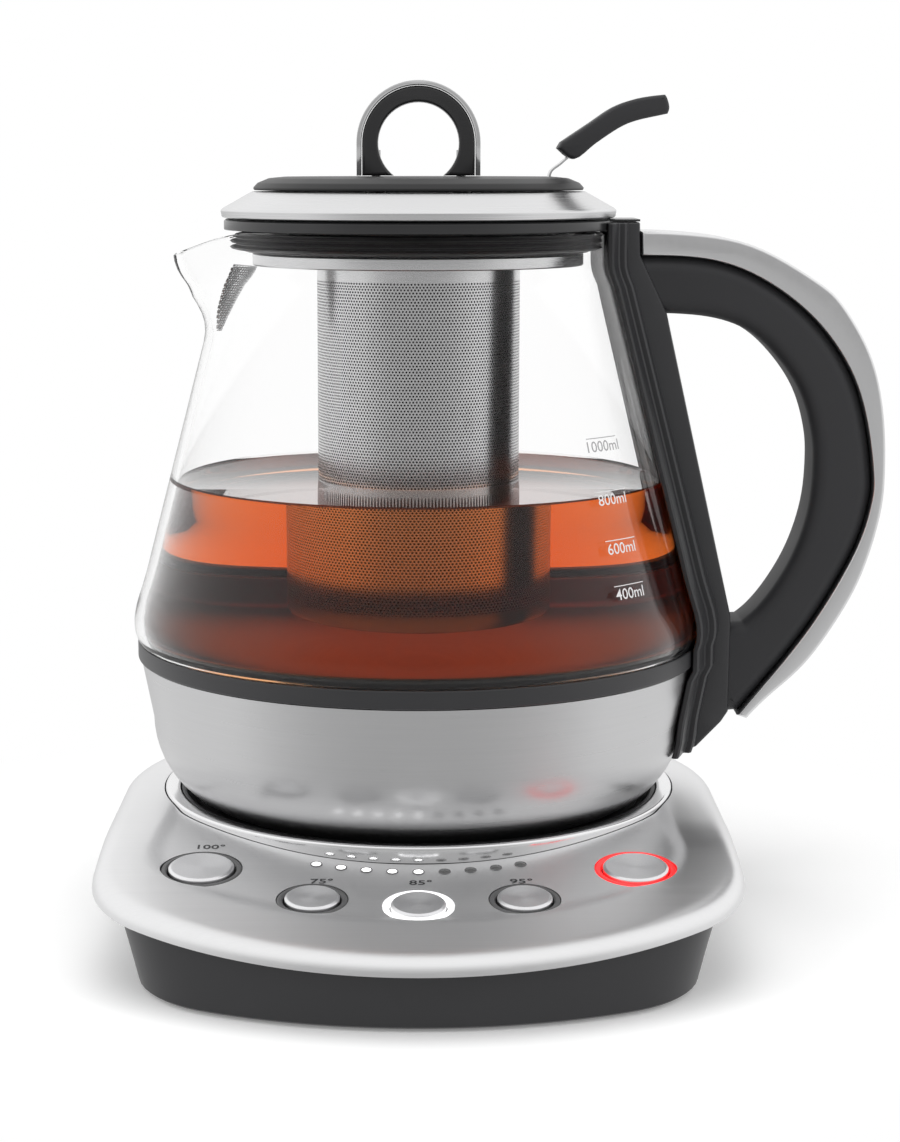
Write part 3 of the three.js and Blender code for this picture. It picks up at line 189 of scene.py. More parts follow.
def slab(outline, width, rounding, steps):
    """An outline in X and Z with a width along Y and rounded edges, as rings from one side to the other."""
    points = [Vector(p) for p in outline]
    count = len(points)
    area = sum(a.x * b.y - b.x * a.y for a, b in zip(points, points[1:] + points[:1]))
    sign = 1 if area > 0 else -1
    inward = []
    for i in range(count):
        a = (points[i] - points[i - 1]).normalized()
        b = (points[(i + 1) % count] - points[i]).normalized()
        na, nb = Vector((-a.y, a.x)) * sign, Vector((-b.y, b.x)) * sign
        middle = na + nb
        middle = middle.normalized() if middle.length > 1e-6 else na
        inward.append(middle / max(0.5, middle.dot(na)))
    rings, half = [], width / 2
    for k in range(steps + 1):
        turn = math.pi / 2 * k / steps
        inset = rounding * (1 - math.sin(turn))
        rings.append((-half + rounding * (1 - math.cos(turn)), inset))
    rings += [(-place, inset) for place, inset in reversed(rings)]
    pairs = list(zip(points, inward))
    shell = [[(p.x + n.x * inset, place, p.y + n.y * inset) for p, n in pairs] for place, inset in rings]
    return tube(shell, closed=False)


def eased(points, passes):
    """An open line with its small kinks taken out. Its ends stay."""
    for _ in range(passes):
        threes = zip(points, points[1:], points[2:])
        inner = [tuple((a + 2 * b + c) / 4 for a, b, c in zip(*three)) for three in threes]
        points = [points[0], *inner, points[-1]]
    return points


def smooth_curve(points, steps):
    """A smooth open curve through points, evenly spaced."""
    out = []
    padded = [points[0], *points, points[-1]]
    for i in range(1, len(padded) - 2):
        p0, p1, p2, p3 = (Vector(p) for p in padded[i - 1 : i + 3])
        for k in range(steps):
            t = k / steps
            bend = (2 * p0 - 5 * p1 + 4 * p2 - p3) * t**2
            twist = (3 * p1 - p0 - 3 * p2 + p3) * t**3
            out.append(tuple(0.5 * (2 * p1 + (p2 - p0) * t + bend + twist)))
    out.append(tuple(points[-1]))
    return out


def cut_out(piece, cutters, sharp):
    """Cuts the cutters out of the piece, deletes them and keeps edges above the angle in degrees sharp."""
    for i, cutter in enumerate(cutters):
        cut = piece.modifiers.new(f"cut_{i}", "BOOLEAN")
        cut.operation = "DIFFERENCE"
        cut.solver = "EXACT"
        cut.object = cutter
    mesh = final_mesh(piece)
    piece.modifiers.clear()
    old = piece.data
    piece.data = mesh
    bpy.data.meshes.remove(old)
    for cutter in cutters:
        spent = cutter.data
        bpy.data.objects.remove(cutter)
        bpy.data.meshes.remove(spent)
    mesh.set_sharp_from_angle(angle=math.radians(sharp))


def ease(value):
    value = max(0.0, min(1.0, value))
    return value * value * (3 - 2 * value)


# Materials


def feed(tree, sockets, values):
    """Sets each socket to its number or colour, or links it where the value is another node's output."""
    for socket, value in zip(sockets, values):
        if isinstance(value, bpy.types.NodeSocket):
            tree.links.new(value, socket)
        else:
            socket.default_value = value


def node_math(tree, operation, a, b=0.0, c=0.0):
    node = tree.nodes.new("ShaderNodeMath")
    node.operation = operation
    feed(tree, node.inputs, (a, b, c))
    return node.outputs[0]


def mix(tree, factor, a, b):
    """Shader a where the factor is 0 and shader b where it is 1."""
    node = tree.nodes.new("ShaderNodeMixShader")
    feed(tree, node.inputs, (factor, a, b))
    return node.outputs[0]


class Shade:
    """A material with short calls for its nodes."""

    def __init__(self, name, color, roughness, metallic=0.0, **inputs):
        self.material = bpy.data.materials.new(name)
        self.material.use_nodes = True
        self.tree = self.material.node_tree
        self.nodes = self.tree.nodes
        self.shader = self.nodes["Principled BSDF"]
        self.out = self.nodes["Material Output"]
        self.material.diffuse_color = (*color, 1)
        self.set(Base_Color=(*color, 1), Roughness=roughness, Metallic=metallic, **inputs)

    def give(self, node, **values):
        """Sets or links a node's inputs by their names, with _ for a space."""
        feed(self.tree, [node.inputs[key.replace("_", " ")] for key in values], values.values())
        return node

    def set(self, **values):
        """Sets or links inputs of the surface's own shader."""
        self.give(self.shader, **values)

    def node(self, kind, **facts):
        node = self.nodes.new("ShaderNode" + kind)
        for key, value in facts.items():
            setattr(node, key, value)
        return node

    def link(self, start, end):
        self.tree.links.new(start, end)

    def math(self, *call):
        return node_math(self.tree, *call)

    def times(self, a, b):
        return self.math("MULTIPLY", a, b)

    def reach(self, a, b):
        """The length of a line that runs a one way and b square to it."""
        return self.math("SQRT", self.math("ADD", self.times(a, a), self.times(b, b)))

    def place(self):
        """X, Y and Z in millimetres about the jug's axis."""
        parts = self.node("SeparateXYZ")
        self.link(self.node("TexCoord").outputs["Object"], parts.inputs[0])
        x, y, z = (self.times(out, 1 / MM) for out in parts.outputs)
        return self.math("SUBTRACT", x, AXIS_X), self.math("SUBTRACT", y, AXIS_Y), z

    def vector(self, x, y, z):
        node = self.node("CombineXYZ")
        feed(self.tree, node.inputs, (x, y, z))
        return node.outputs[0]

    def noise(self, vector, scale, detail):
        node = self.give(self.node("TexNoise"), Vector=vector, Scale=scale, Detail=detail)
        return node.outputs["Fac"]

    def cloud(self, scale, detail):
        """Noise that stays put in the body."""
        return self.noise(self.vector(*self.place()), scale, detail)

    def spread(self, value, low, high):
        """A value from 0 to 1 spread from low to high."""
        return self.give(self.node("MapRange"), Value=value, To_Min=low, To_Max=high).outputs[0]

    def blend(self, factor, a, b):
        """Colour a where the factor is 0 and colour b where it is 1."""
        node = self.give(self.node("Mix", data_type="RGBA"), Factor=factor)
        colors = ((*color, 1) if isinstance(color, tuple) else color for color in (a, b))
        feed(self.tree, node.inputs[6:8], colors)  # the node's two colour inputs
        return node.outputs[2]

    def bump(self, height, strength, distance):
        node = self.give(self.node("Bump"), Strength=strength, Distance=distance, Height=height)
        self.set(Normal=node.outputs[0])


def scaled(color, factor):
    return tuple(min(1.0, c * factor) for c in color)


def brushed(name, color, roughness, grain, depth=0.06, strength=0.25):
    """Brushed steel. grain is how fast it changes along x, y and z, or "round" for round the axis."""
    shade = Shade(name, color, roughness, 1.0)
    x, y, z = shade.place()
    if grain == "round":
        across = shade.times(shade.reach(x, y), 3.0)
        lines = shade.vector(across, shade.times(z, 3.0), shade.math("ARCTAN2", y, x))
    else:
        lines = shade.vector(*(shade.times(value, rate) for value, rate in zip((x, y, z), grain)))
    fine = shade.noise(lines, 1.0, 2.0)
    broad = shade.noise(lines, 0.25, 1.0)
    both = shade.math("MULTIPLY_ADD", broad, 0.4, shade.times(fine, 0.6))
    shade.set(Base_Color=shade.blend(both, scaled(color, 1 - depth), scaled(color, 1 + depth)))
    shade.set(Roughness=shade.spread(both, roughness * 0.75, roughness * 1.25))
    shade.bump(both, strength, 0.00004)
    return shade.material


def moulded(name, color, roughness, grain=6.0, strength=0.12):
    """Moulded plastic or rubber with a fine pebbled skin."""
    shade = Shade(name, color, roughness)
    where = shade.vector(*shade.place())
    skin = shade.noise(where, grain, 3.0)
    cloud = shade.noise(where, 0.06, 2.0)
    shade.set(Base_Color=shade.blend(cloud, scaled(color, 0.92), scaled(color, 1.1)))
    shade.set(Roughness=shade.spread(cloud, roughness * 0.92, roughness * 1.1))
    shade.bump(skin, strength, 0.00003)
    return shade.material


def glowing(name, color, glow, strength, roughness=0.3):
    """Translucent plastic lit from behind."""
    shade = Shade(name, color, roughness)
    shade.set(Emission_Color=(*glow, 1), Emission_Strength=strength)
    shade.set(Base_Color=shade.blend(shade.cloud(0.6, 2.0), scaled(color, 0.95), color))
    return shade.material


STEEL = (0.60, 0.60, 0.605)
steel_bowl = brushed("steel_bowl", STEEL, 0.30, (0.05, 0.05, 4.0))
steel_round = brushed("steel_round", (0.66, 0.66, 0.665), 0.26, "round")
steel_deck = brushed("steel_deck", (0.76, 0.76, 0.765), 0.36, (0.03, 4.0, 4.0))
steel_band = brushed("steel_band", (0.72, 0.72, 0.725), 0.24, (0.6, 0.05, 0.6), 0.03, 0.1)
steel_bright = brushed("steel_bright", (0.8, 0.8, 0.805), 0.12, "round", 0.03, 0.1)
black_shell = moulded("black_shell", (0.026, 0.026, 0.028), 0.42)
black_lid = moulded("black_lid", (0.006, 0.006, 0.0065), 0.46)
black_soft = moulded("black_soft", (0.02, 0.02, 0.022), 0.55, 9.0, 0.2)
black_spine = moulded("black_spine", (0.024, 0.024, 0.026), 0.38)
black_rubber = moulded("black_rubber", (0.006, 0.006, 0.0065), 0.42, 4.0, 0.1)
steel_inside = brushed("steel_inside", (0.26, 0.26, 0.262), 0.35, "round")
steel_lamp = brushed("steel_lamp", (0.22, 0.22, 0.222), 0.25, (1.0, 1.0, 1.0))
gloss_black = moulded("gloss_black", (0.02, 0.02, 0.021), 0.22, 6.0, 0.03)

# Base: outline, deck and sloped panel

PANEL_START, PANEL_FALL, PANEL_BLEND = 55.0, 0.153, 12.0
DECK_Z = 32.5
SHEET = 1.0
EDGE_ROLL, EDGE_DROP = 7.0, 4.4
DISH_DEPTH, DISH_SIDE, DISH_FRONT, DISH_REAR, DISH_SOFT = 0.9, 14.0, 21.0, 22.0, 5.0
DOCK_RING_R = 74.0
PANEL_TILT = math.atan(PANEL_FALL)


def plan_edge(width, front, front_radius, corner):
    """How far an outline is from the jug's axis: round behind, straight at the sides, bowed in front."""
    side = width / 2
    reach = front_radius - corner
    corner_x = side - corner
    front_y = front_radius - front
    corner_y = front_y - math.sqrt(reach * reach - corner_x * corner_x)
    swing = math.atan2(front_y - corner_y, corner_x)
    path = []

    def arc(x, y, radius, start, end, steps=60):
        for k in range(steps + 1):
            across, along = polar(radius, start + (end - start) * k / steps)
            path.append((x + across, y + along))

    arc(0, 0, side, 0, math.pi, 120)
    arc(-corner_x, corner_y, corner, math.pi, math.pi + swing)
    arc(0, front_y, front_radius, math.pi + swing, TAU - swing)
    arc(corner_x, corner_y, corner, -swing, 0)
    points = sorted((math.atan2(y, x) % TAU, x, y) for x, y in path)
    points = [(points[-1][0] - TAU, *points[-1][1:])] + points + [(points[0][0] + TAU, *points[0][1:])]

    def edge(angle):
        at = angle % TAU
        low, high = 0, len(points) - 1
        while high - low > 1:
            mid = (low + high) // 2
            if points[mid][0] < at:
                low = mid
            else:
                high = mid
        (_, ax, ay), (_, bx, by) = points[low], points[high]
        across = math.cos(angle) * (by - ay) - math.sin(angle) * (bx - ax)
        return math.hypot(bx, by) if abs(across) < 1e-9 else (ax * by - ay * bx) / across

    return edge


plate_edge = plan_edge(172, 131, 115, 38)
skirt_top_edge = plan_edge(160, 126, 125, 34)
skirt_foot_edge = plan_edge(147, 124, 125, 34)


def border_height(y):
    run = -y - PANEL_START
    if run <= -PANEL_BLEND:
        return DECK_Z
    if run >= PANEL_BLEND:
        return DECK_Z - PANEL_FALL * run
    return DECK_Z - PANEL_FALL * (run + PANEL_BLEND) ** 2 / (4 * PANEL_BLEND)


def dish_at(x, y):
    reach = math.hypot(x, y)
    edge = plate_edge(math.atan2(y, x))
    border = DISH_SIDE + (DISH_FRONT - DISH_SIDE) * max(0, -y / reach)
    return DISH_DEPTH * ease((edge - border - reach) / DISH_SOFT) * ease((-y - DISH_REAR) / (DISH_SOFT * 2))


def plate_height(x, y):
    return border_height(y) - dish_at(x, y)


def base_ring(reach_at, height_at, count=216):
    """A ring of the base from its distance at each angle and its height at each place."""
    turns = (TAU * k / count for k in range(count))
    return [(x, y, height_at(x, y)) for x, y in (polar(reach_at(turn), turn) for turn in turns)]


def on_panel(reach, degrees):
    turn = math.radians(degrees)
    x, y = reach * math.sin(turn), -reach * math.cos(turn)
    return Vector((x, y, plate_height(x, y)))


# Name, angle from the front, distance from the jug's axis, cap radius
BUTTONS = [
    ("hot_water", -36.6, 96, 8.75),
    ("low", -16, 99, 7.2),
    ("middle", 0, 99, 7.2),
    ("high", 16, 99, 7.2),
    ("power", 36.6, 96, 8.75),
]
LAMPS = [on_panel(79, (i - 4) * 5) for i in range(9)]
LIT_LAMPS = 5
WELL_RING = 1.95


def square_to_panel(place):
    return Matrix.Translation(place) @ Matrix.Rotation(PANEL_TILT, 4, "X")


def panel_lathe(name, place, profile, body, material, slot=None, replaces=(), segments=72):
    verts, faces = lathe_mesh(profile, segments)
    turn = square_to_panel(place)
    return make(name, [turn @ Vector(v) for v in verts], faces, body, material, slot, replaces)


def cutter(place, radius, low, high, segments=48):
    verts, faces = rod(radius, low, high, segments)
    turn = square_to_panel(place)
    return loose("cutter", [turn @ Vector(v) for v in verts], faces)


def well_cutters(extra, low, high):
    wells = [cutter(on_panel(reach, turn), cap + extra, low, high) for _, turn, reach, cap in BUTTONS]
    return wells + [cutter(place, 1.5, low, high, 24) for place in LAMPS]


def rolled_edge():
    shares = []
    for k in range(11):
        inward = (k / 10) ** 1.6
        shares.append((inward, 0.97 * (1 - math.sqrt(1 - (1 - inward) ** 2.8))))
    return shares


def build_plate():
    roll = rolled_edge()
    hole = DOCK_RING_R + 0.3

    def rim(inward, fall, sheet):
        def reach(angle):
            return plate_edge(angle) - sheet - EDGE_ROLL * inward

        def height(x, y):
            return border_height(y) - EDGE_DROP * fall - sheet * (1 - fall)

        return base_ring(reach, height)

    top = [rim(inward, fall, 0.0) for inward, fall in roll]
    under = [rim(inward, fall, SHEET) for inward, fall in roll]

    def between(share, inset):
        def reach(angle):
            outer = plate_edge(angle) - inset
            return outer + (hole - outer) * share

        return reach

    def underside(x, y):
        return plate_height(x, y) - SHEET

    shares = [k / 24 for k in range(1, 25)]
    field = [base_ring(between(s, EDGE_ROLL), plate_height) for s in shares]
    field_under = [base_ring(between(s, EDGE_ROLL + SHEET), underside) for s in shares[3::4]]
    shell = tube(top + field + field_under[::-1] + under[::-1])
    plate = make("deck_plate", *shell, "base", steel_deck, "brushed_steel", ["base_plate"])
    cut_out(plate, well_cutters(WELL_RING + 0.2, -3, 2), 35)


def build_skirt():
    wall, foot_z, dock_hole = 2.2, 1.5, 74.4
    deck_gap = SHEET + DISH_DEPTH + 0.3

    def deck(x, y):
        return border_height(y) - deck_gap

    def level(value):
        return lambda *_: value

    outer = []
    for k in range(9):
        share = k / 8
        outer.append(base_ring(
            lambda a, s=share: skirt_foot_edge(a) + (skirt_top_edge(a) - skirt_foot_edge(a)) * s,
            lambda x, y, s=share: foot_z + (deck(x, y) - 1.2 - foot_z) * s,
        ))
    foot = base_ring(lambda a: skirt_foot_edge(a) - 0.8, level(0.9))
    rings = [
        foot,
        *outer,
        base_ring(lambda a: skirt_top_edge(a) - 1.2, deck),
        base_ring(level(dock_hole), deck),
        base_ring(level(dock_hole), lambda x, y: deck(x, y) - wall),
        base_ring(lambda a: skirt_top_edge(a) - wall, lambda x, y: deck(x, y) - wall),
        base_ring(lambda a: skirt_foot_edge(a) - wall, level(foot_z)),
    ]
    skirt = make("base_skirt", *tube(rings), "base", black_shell, "black_plastic", ["base_housing"])
    cut_out(skirt, well_cutters(0.35, -8, 2), 35)


def build_dock():
    ring = fillet([(69.5, 28.6), (74, 28.6), (74, 33.3), (69.5, 33.3)], [0.3, 0.3, 1.1, 1.1], 6)
    lathe("dock_trim", ring, "base", steel_bright, "brushed_steel", ["dock_ring"])
    pan = [(16.5, 28.3), (58, 28.3), (64, 29.3), (68.1, 32.7), (69.2, 32.7), (69.2, 28.3), (73.7, 28.3)]
    pan = fillet(pan + [(73.7, 26.3), (16.5, 26.3)], [0.4, 1.5, 1.5, 0.4, 0.2, 0.1, 0.1, 0.3, 0.3])
    lathe("dock_well", pan, "base", black_shell, "black_plastic", ["dock_pan"])
    plug = [(0, 31), (3, 31), (3, 41), (14, 41), (14, 26), (20, 26), (20, 24.3), (14, 24.3), (14, 20.3)]
    plug = fillet(plug + [(0, 20.3)], [0, 0.3, 0.6, 1.2, 0.3, 0.4, 0.4, 0.3, 0.5, 0])
    lathe("dock_plug", plug, "base", black_shell, "black_plastic", ["power_plug"], 96)


def spun_cap(name, middle):
    """Spun aluminium with its shine in a fan round the cap's middle."""
    shade = Shade("spun_" + name, (0.7, 0.7, 0.71), 0.3, 1.0, Anisotropic=0.8)
    x, y, _ = shade.place()
    outward = shade.vector(shade.math("SUBTRACT", x, middle.x), shade.math("SUBTRACT", y, middle.y), 0.0)
    shade.set(Tangent=outward)
    shade.set(Base_Color=shade.blend(shade.cloud(3.0, 2.0), (0.72, 0.72, 0.73), (0.84, 0.84, 0.85)))
    return shade.material


def build_buttons():
    ring_plain = glowing("ring_unlit", (0.08, 0.08, 0.082), (0.5, 0.5, 0.5), 0.0, 0.3)
    ring_white = glowing("ring_white", (0.9, 0.9, 0.9), (1.0, 1.0, 1.0), 0.9)
    ring_red = glowing("ring_red", (0.8, 0.03, 0.03), (1.0, 0.012, 0.015), 1.0)
    lamp_white = glowing("lamp_white", (0.9, 0.9, 0.9), (1.0, 1.0, 1.0), 1.9)
    lamp_dark = glowing("lamp_dark", (0.1, 0.1, 0.1), (0.5, 0.5, 0.5), 0.0, 0.2)
    lit = {"middle": ring_white, "power": ring_red}
    for name, turn, reach, cap in BUTTONS:
        place = on_panel(reach, turn)
        outer = cap + WELL_RING
        bore = cap + 0.35
        ring = [(bore, -3.2), (outer, -3.2), (outer, -0.15), (outer - 0.35, 0.1), (cap + 0.8, 0.1)]
        ring = fillet(ring + [(bore, -0.35)], [0, 0, 0.1, 0.15, 0.15, 0.1], 3)
        glow = lit.get(name, ring_plain)
        panel_lathe("ring_" + name, place, ring, "base", glow, "light_guide", ["light_ring_" + name])
        side, stem = cap - 0.05, 1.8
        top = [(0, 0.62), (cap * 0.45, 0.68), (cap * 0.82, 0.92), (cap - 0.75, 1.0), (side, 0.45)]
        top += [(side, -2.8), (stem, -2.8), (stem, -3.8), (0, -3.8)]
        top = fillet(top, [0, 2, 1.2, 0.4, 0.4, 0.2, 0.1, 0.1, 0])
        body, metal = "button_body_" + name, spun_cap(name, place)
        panel_lathe("cap_" + name, place, top, body, metal, "spun_aluminium", ["button_" + name])
    for i, place in enumerate(LAMPS):
        bezel = fillet([(1.24, -0.6), (1.62, -0.6), (1.62, 0.22), (1.24, 0.22)], [0, 0, 0.12, 0.12], 3)
        panel_lathe(f"lamp_bezel_{i + 1}", place, bezel, "base", steel_lamp, "brushed_steel", segments=32)
        lens = [(0, 0.42), (0.5, 0.39), (0.95, 0.28), (1.22, 0.17), (1.22, -0.6), (0, -0.6)]
        glow = lamp_white if i < LIT_LAMPS else lamp_dark
        panel_lathe(f"lamp_lens_{i + 1}", place, lens, "base", glow, "light_guide", segments=32)


build_plate()
build_skirt()
build_dock()
build_buttons()

# Jug: glass, bowl, handle

BELLY = [(81.0, 77.2), (81.75, 79.2), (82.05, 81.5), (81.85, 84.2), (81.1, 87.6), (79.9, 91.2), (78.4, 96.0)]
GLASS_WALL = 2.4
NECK_R, CONE_R, CONE_Z, RIM_Z = 55.0, 57.0, 177.5, 193.0
SPOUT_REACH, SPOUT_DROP, SPOUT_TURN, SPOUT_Z = 14.6, 6.4, 15.0, 162.0
LEVEL_Z = 122.3
BOWL_TOP_R, BOWL_TOP_Z, BOWL_BEND_R, BOWL_BEND_Z = 80.2, 71.5, 76.9, 54.5
BOWL_DROP, BOWL_TUCK = 25.5, 23.6
BAND_R = 81.1


def glass_profile():
    points = smooth_curve(BELLY, 3)
    foot_r, foot_z = BELLY[-1]
    for k in range(1, 27):
        points.append((foot_r + (CONE_R - foot_r) * k / 26, foot_z + (CONE_Z - foot_z) * k / 26))
    points += [(56.25, 179.2), (55.6, 180.9), (55.2, 182.2)]
    return points + [(NECK_R, z) for z in (183.6, 185.5, 188, 190.5, 192.3)]


GLASS = glass_profile()


def glass_radius(z):
    for (r0, z0), (r1, z1) in zip(GLASS, GLASS[1:]):
        if z <= z1:
            return r0 + (r1 - r0) * max(0.0, (z - z0) / (z1 - z0))
    return GLASS[-1][0]


def glass_ring(radius, z, count=192):
    ring = []
    for k in range(count):
        turn = TAU * k / count
        near = math.exp(-(((turn - math.pi) / math.radians(SPOUT_TURN)) ** 2))
        rise = ease((z - SPOUT_Z) / (RIM_Z - SPOUT_Z))
        reach = radius + SPOUT_REACH * near * rise
        ring.append((*polar(reach, turn), z - SPOUT_DROP * near * rise))
    return ring


def clear(name, ior):
    return Shade(name, (1.0, 1.0, 1.0), 0.0, Transmission_Weight=1.0, IOR=ior, Specular_IOR_Level=0.25)


def clear_glass():
    shade = clear("jug_glass", 1.19)
    x, y, z = shade.place()
    wave = shade.noise(shade.vector(x, y, shade.times(z, 0.4)), 0.03, 1.0)
    shade.bump(wave, 0.05, 0.0004)
    return shade.material


def tea_material():
    shade = clear("tea", 1.33)
    absorb = shade.give(shade.node("VolumeAbsorption"), Color=(0.94, 0.585, 0.17, 1), Density=40.0)
    shade.link(absorb.outputs[0], shade.out.inputs["Volume"])
    shade.bump(shade.cloud(0.02, 1.0), 0.03, 0.0003)
    return shade.material


def build_glass():
    inner = [(r - GLASS_WALL, z) for r, z in GLASS]
    lip = [(NECK_R - 0.5, 192.85), (NECK_R - 1.2, 193.0), (NECK_R - 1.9, 192.85)]
    foot = [(79.2, 77.2)]
    rows = GLASS + lip + inner[::-1][:-1] + [(78.7, 77.5)] + foot
    shell = tube([glass_ring(r, z) for r, z in rows])
    make("jug_glass", *shell, "jug", clear_glass(), "clear_glass", ["glass_jug"])
    build_tea()


def build_tea():
    """The liquid. It overlaps the jug's floor, so that no air lies between them, and creeps up the glass."""
    gap = 0.15
    heights = (78.4, 80, 82, 84.2, 87.6, 91.2, 96, 105, 115, 120)
    wall = [(glass_radius(z) - GLASS_WALL - gap, z) for z in heights]
    top = glass_radius(LEVEL_Z) - GLASS_WALL - gap
    profile = [(0, 67.3), (72.3, 67.3), (72.3, 76.8), (73.5, 77.3), *wall]
    profile += [(top, LEVEL_Z + 0.9), (top - 0.5, LEVEL_Z + 0.4), (top - 1.6, LEVEL_Z), (0, LEVEL_Z)]
    lathe("tea", profile, "jug", tea_material(), segments=192)


def build_bowl():
    floor_r, floor_z, sheet = 49.5, 29.0, 1.2
    outer = [(BOWL_TOP_R, BOWL_TOP_Z)]
    for k in range(15):
        turn = math.pi / 2 * k / 14
        radius = BOWL_BEND_R - BOWL_TUCK * (1 - math.cos(turn))
        outer.append((radius, floor_z + BOWL_DROP * (1 - math.sin(turn))))
    outer.append((floor_r, floor_z))
    inner = [(max(r - sheet, floor_r), max(z, floor_z + sheet)) for r, z in outer[::-1]]
    lathe("bowl", outer + inner, "jug", steel_bowl, "brushed_steel", ["bowl_shell"], smooth=40)
    band = fillet([(78.6, 71.8), (BAND_R, 71.8), (BAND_R, 76.9), (78.6, 76.9)], [0.2, 0.7, 0.5, 0.2])
    lathe("jug_band", band, "jug", black_spine, "black_plastic", ["seat_band"])
    seal = fillet([(74.0, 71.8), (78.3, 71.8), (78.3, 79.5), (74.0, 79.5)], [0.3, 0.3, 0.9, 0.9])
    lathe("jug_seal", seal, "jug", black_rubber, "black_rubber", ["glass_seal"])
    pan = [(0, 66), (73.7, 66), (73.7, 77), (72.2, 77), (72.2, 67.5), (0, 67.5)]
    pan = fillet(pan, [0, 0.6, 0.5, 0.5, 2.0, 0])
    plate = lathe("jug_floor", pan, "jug", steel_inside, "brushed_steel", ["heater_plate"])
    merge(plate, [post_mesh(x, 3, 32, 66.5) for x in (30, -30)])
    cover = fillet([(20.2, 28.5), (49.2, 28.5), (49.2, 30.5), (22.4, 30.5), (22.4, 32.3), (20.2, 32.3)], 0.4)
    lathe("jug_cover", cover, "jug", black_shell, "black_plastic", ["jug_base_cover"], 128)


def post_mesh(x, radius, low, high):
    verts, faces = rod(radius, low, high, 24)
    return [(vx + x, vy, vz) for vx, vy, vz in verts], faces


def merge(piece, parts):
    """Adds further shells, in millimetres about the jug's axis, to a piece."""
    mesh = piece.data
    verts = [tuple(v.co) for v in mesh.vertices]
    faces = [tuple(p.vertices) for p in mesh.polygons]
    for more_verts, more_faces in parts:
        start = len(verts)
        verts += [to_frame(v) for v in more_verts]
        faces += [tuple(i + start for i in face) for face in more_faces]
    mesh.clear_geometry()
    mesh.from_pydata(verts, [], faces)
    face_out(mesh)
    round_off(mesh, 30)


def bowl_radius(z):
    if z >= BOWL_BEND_Z:
        share = (z - BOWL_BEND_Z) / (BOWL_TOP_Z - BOWL_BEND_Z)
        return BOWL_BEND_R + (BOWL_TOP_R - BOWL_BEND_R) * share
    down = min(1.0, (BOWL_BEND_Z - z) / BOWL_DROP)
    return BOWL_BEND_R - BOWL_TUCK * (1 - math.sqrt(1 - down * down))


def jug_radius(z):
    if z < BOWL_TOP_Z:
        return bowl_radius(z)
    return BAND_R if z < BELLY[0][1] else glass_radius(z)


SPINE_FACE = [(45.5, 80.0), (55.0, 89.1), (83.4, 89.4), (170.5, 69.6), (186.2, 62.1), (195.4, 61.8)]


def spine_face(z):
    for (z0, x0), (z1, x1) in zip(SPINE_FACE, SPINE_FACE[1:]):
        if z <= z1:
            return x0 + (x1 - x0) * (z - z0) / (z1 - z0)
    return SPINE_FACE[-1][1]


def spine_ring(z):
    jug = max(jug_radius(z), jug_radius(z - 0.3), jug_radius(z + 0.3))
    base, step, bar, outer = jug + 0.45, jug + 2.4, jug + 4.1, jug + 4.6
    side = 12.0
    edge = math.sqrt(outer * outer - side * side)
    face = max(spine_face(z), edge + 0.3)

    def rim(reach, degrees):
        return (*polar(reach, math.radians(degrees)), z)

    steps = [(base, 5), (base, 10), (base, 15), (base, 19.6), (base + 0.4, 20), (jug + 1.9, 20), (step, 19.6)]
    steps += [(step, 16), (step, 14.4), (jug + 2.8, 14), (bar, 14), (outer, 13.5)]
    right = [rim(*place) for place in steps]
    right += [(edge - 0.2, side + 0.6, z), (edge + 0.3, side, z)]
    right += [(face - 1.0, side, z), (face - 0.3, side - 0.3, z), (face, side - 1.0, z)]
    left = [(x, -y, height) for x, y, height in right][::-1]
    return [rim(base, 0), *right, *left]


# Outlines of the handle as shares of the box that holds them, from the top end round to the foot
GRIP_SHARES = [
    (0, 1), (0.27, 0.995), (0.5, 0.955), (0.73, 0.87), (0.89, 0.76), (0.965, 0.65), (1, 0.53),
    (0.995, 0.47), (0.94, 0.37), (0.79, 0.23), (0.65, 0.13), (0.52, 0.05), (0.44, 0),
]
OPENING_SHARES = [
    (0, 1), (0.29, 0.99), (0.54, 0.95), (0.73, 0.87), (0.9, 0.755), (0.985, 0.62),
    (1, 0.52), (0.98, 0.38), (0.885, 0.23), (0.745, 0.11), (0.62, 0.035), (0.53, 0),
]
TRIM_SHARES = [
    (0, 1), (0.17, 0.997), (0.44, 0.977), (0.71, 0.9), (0.81, 0.855), (0.925, 0.76), (0.98, 0.66),
    (1, 0.55), (0.995, 0.45), (0.92, 0.31), (0.815, 0.21), (0.69, 0.12), (0.545, 0.055), (0.46, 0.01),
]
GRIP_TOP_Z, GRIP_FOOT_Z, GRIP_REACH = 186.2, 55, 128.8
MOUTH_TOP_Z, MOUTH_FOOT_Z, MOUTH_REACH = 170, 81.4, 112.2
TRIM_TOP_Z, TRIM_FOOT_Z, TRIM_REACH = 193, 52.6, 132.3


def build_spine():
    heights = [45.5, 45.8] + [47 + 3 * k for k in range(8)]
    heights += [71.2, 71.8, 74, 76.9, 77.5, 79.2, 81.5, 84.2, 87.6, 91.2, 96]
    heights += [100 + 5 * k for k in range(16)] + [177.5, 179.2, 180.9, 183, 186.2, 190, 195.1, 195.4]
    rings = [spine_ring(z) for z in sorted(heights)]
    shrink = 0.3
    for at in (0, len(rings) - 1):
        ring = [Vector(p) for p in rings[at]]
        middle = Vector((sum(p.x for p in ring) / len(ring), 0, ring[0].z))
        rings[at] = [tuple(p + (middle - p).normalized() * shrink) for p in ring]
    shell = tube(rings, closed=False)
    make("handle_spine_cover", *shell, "jug", black_spine, "black_plastic", ["handle_spine"])


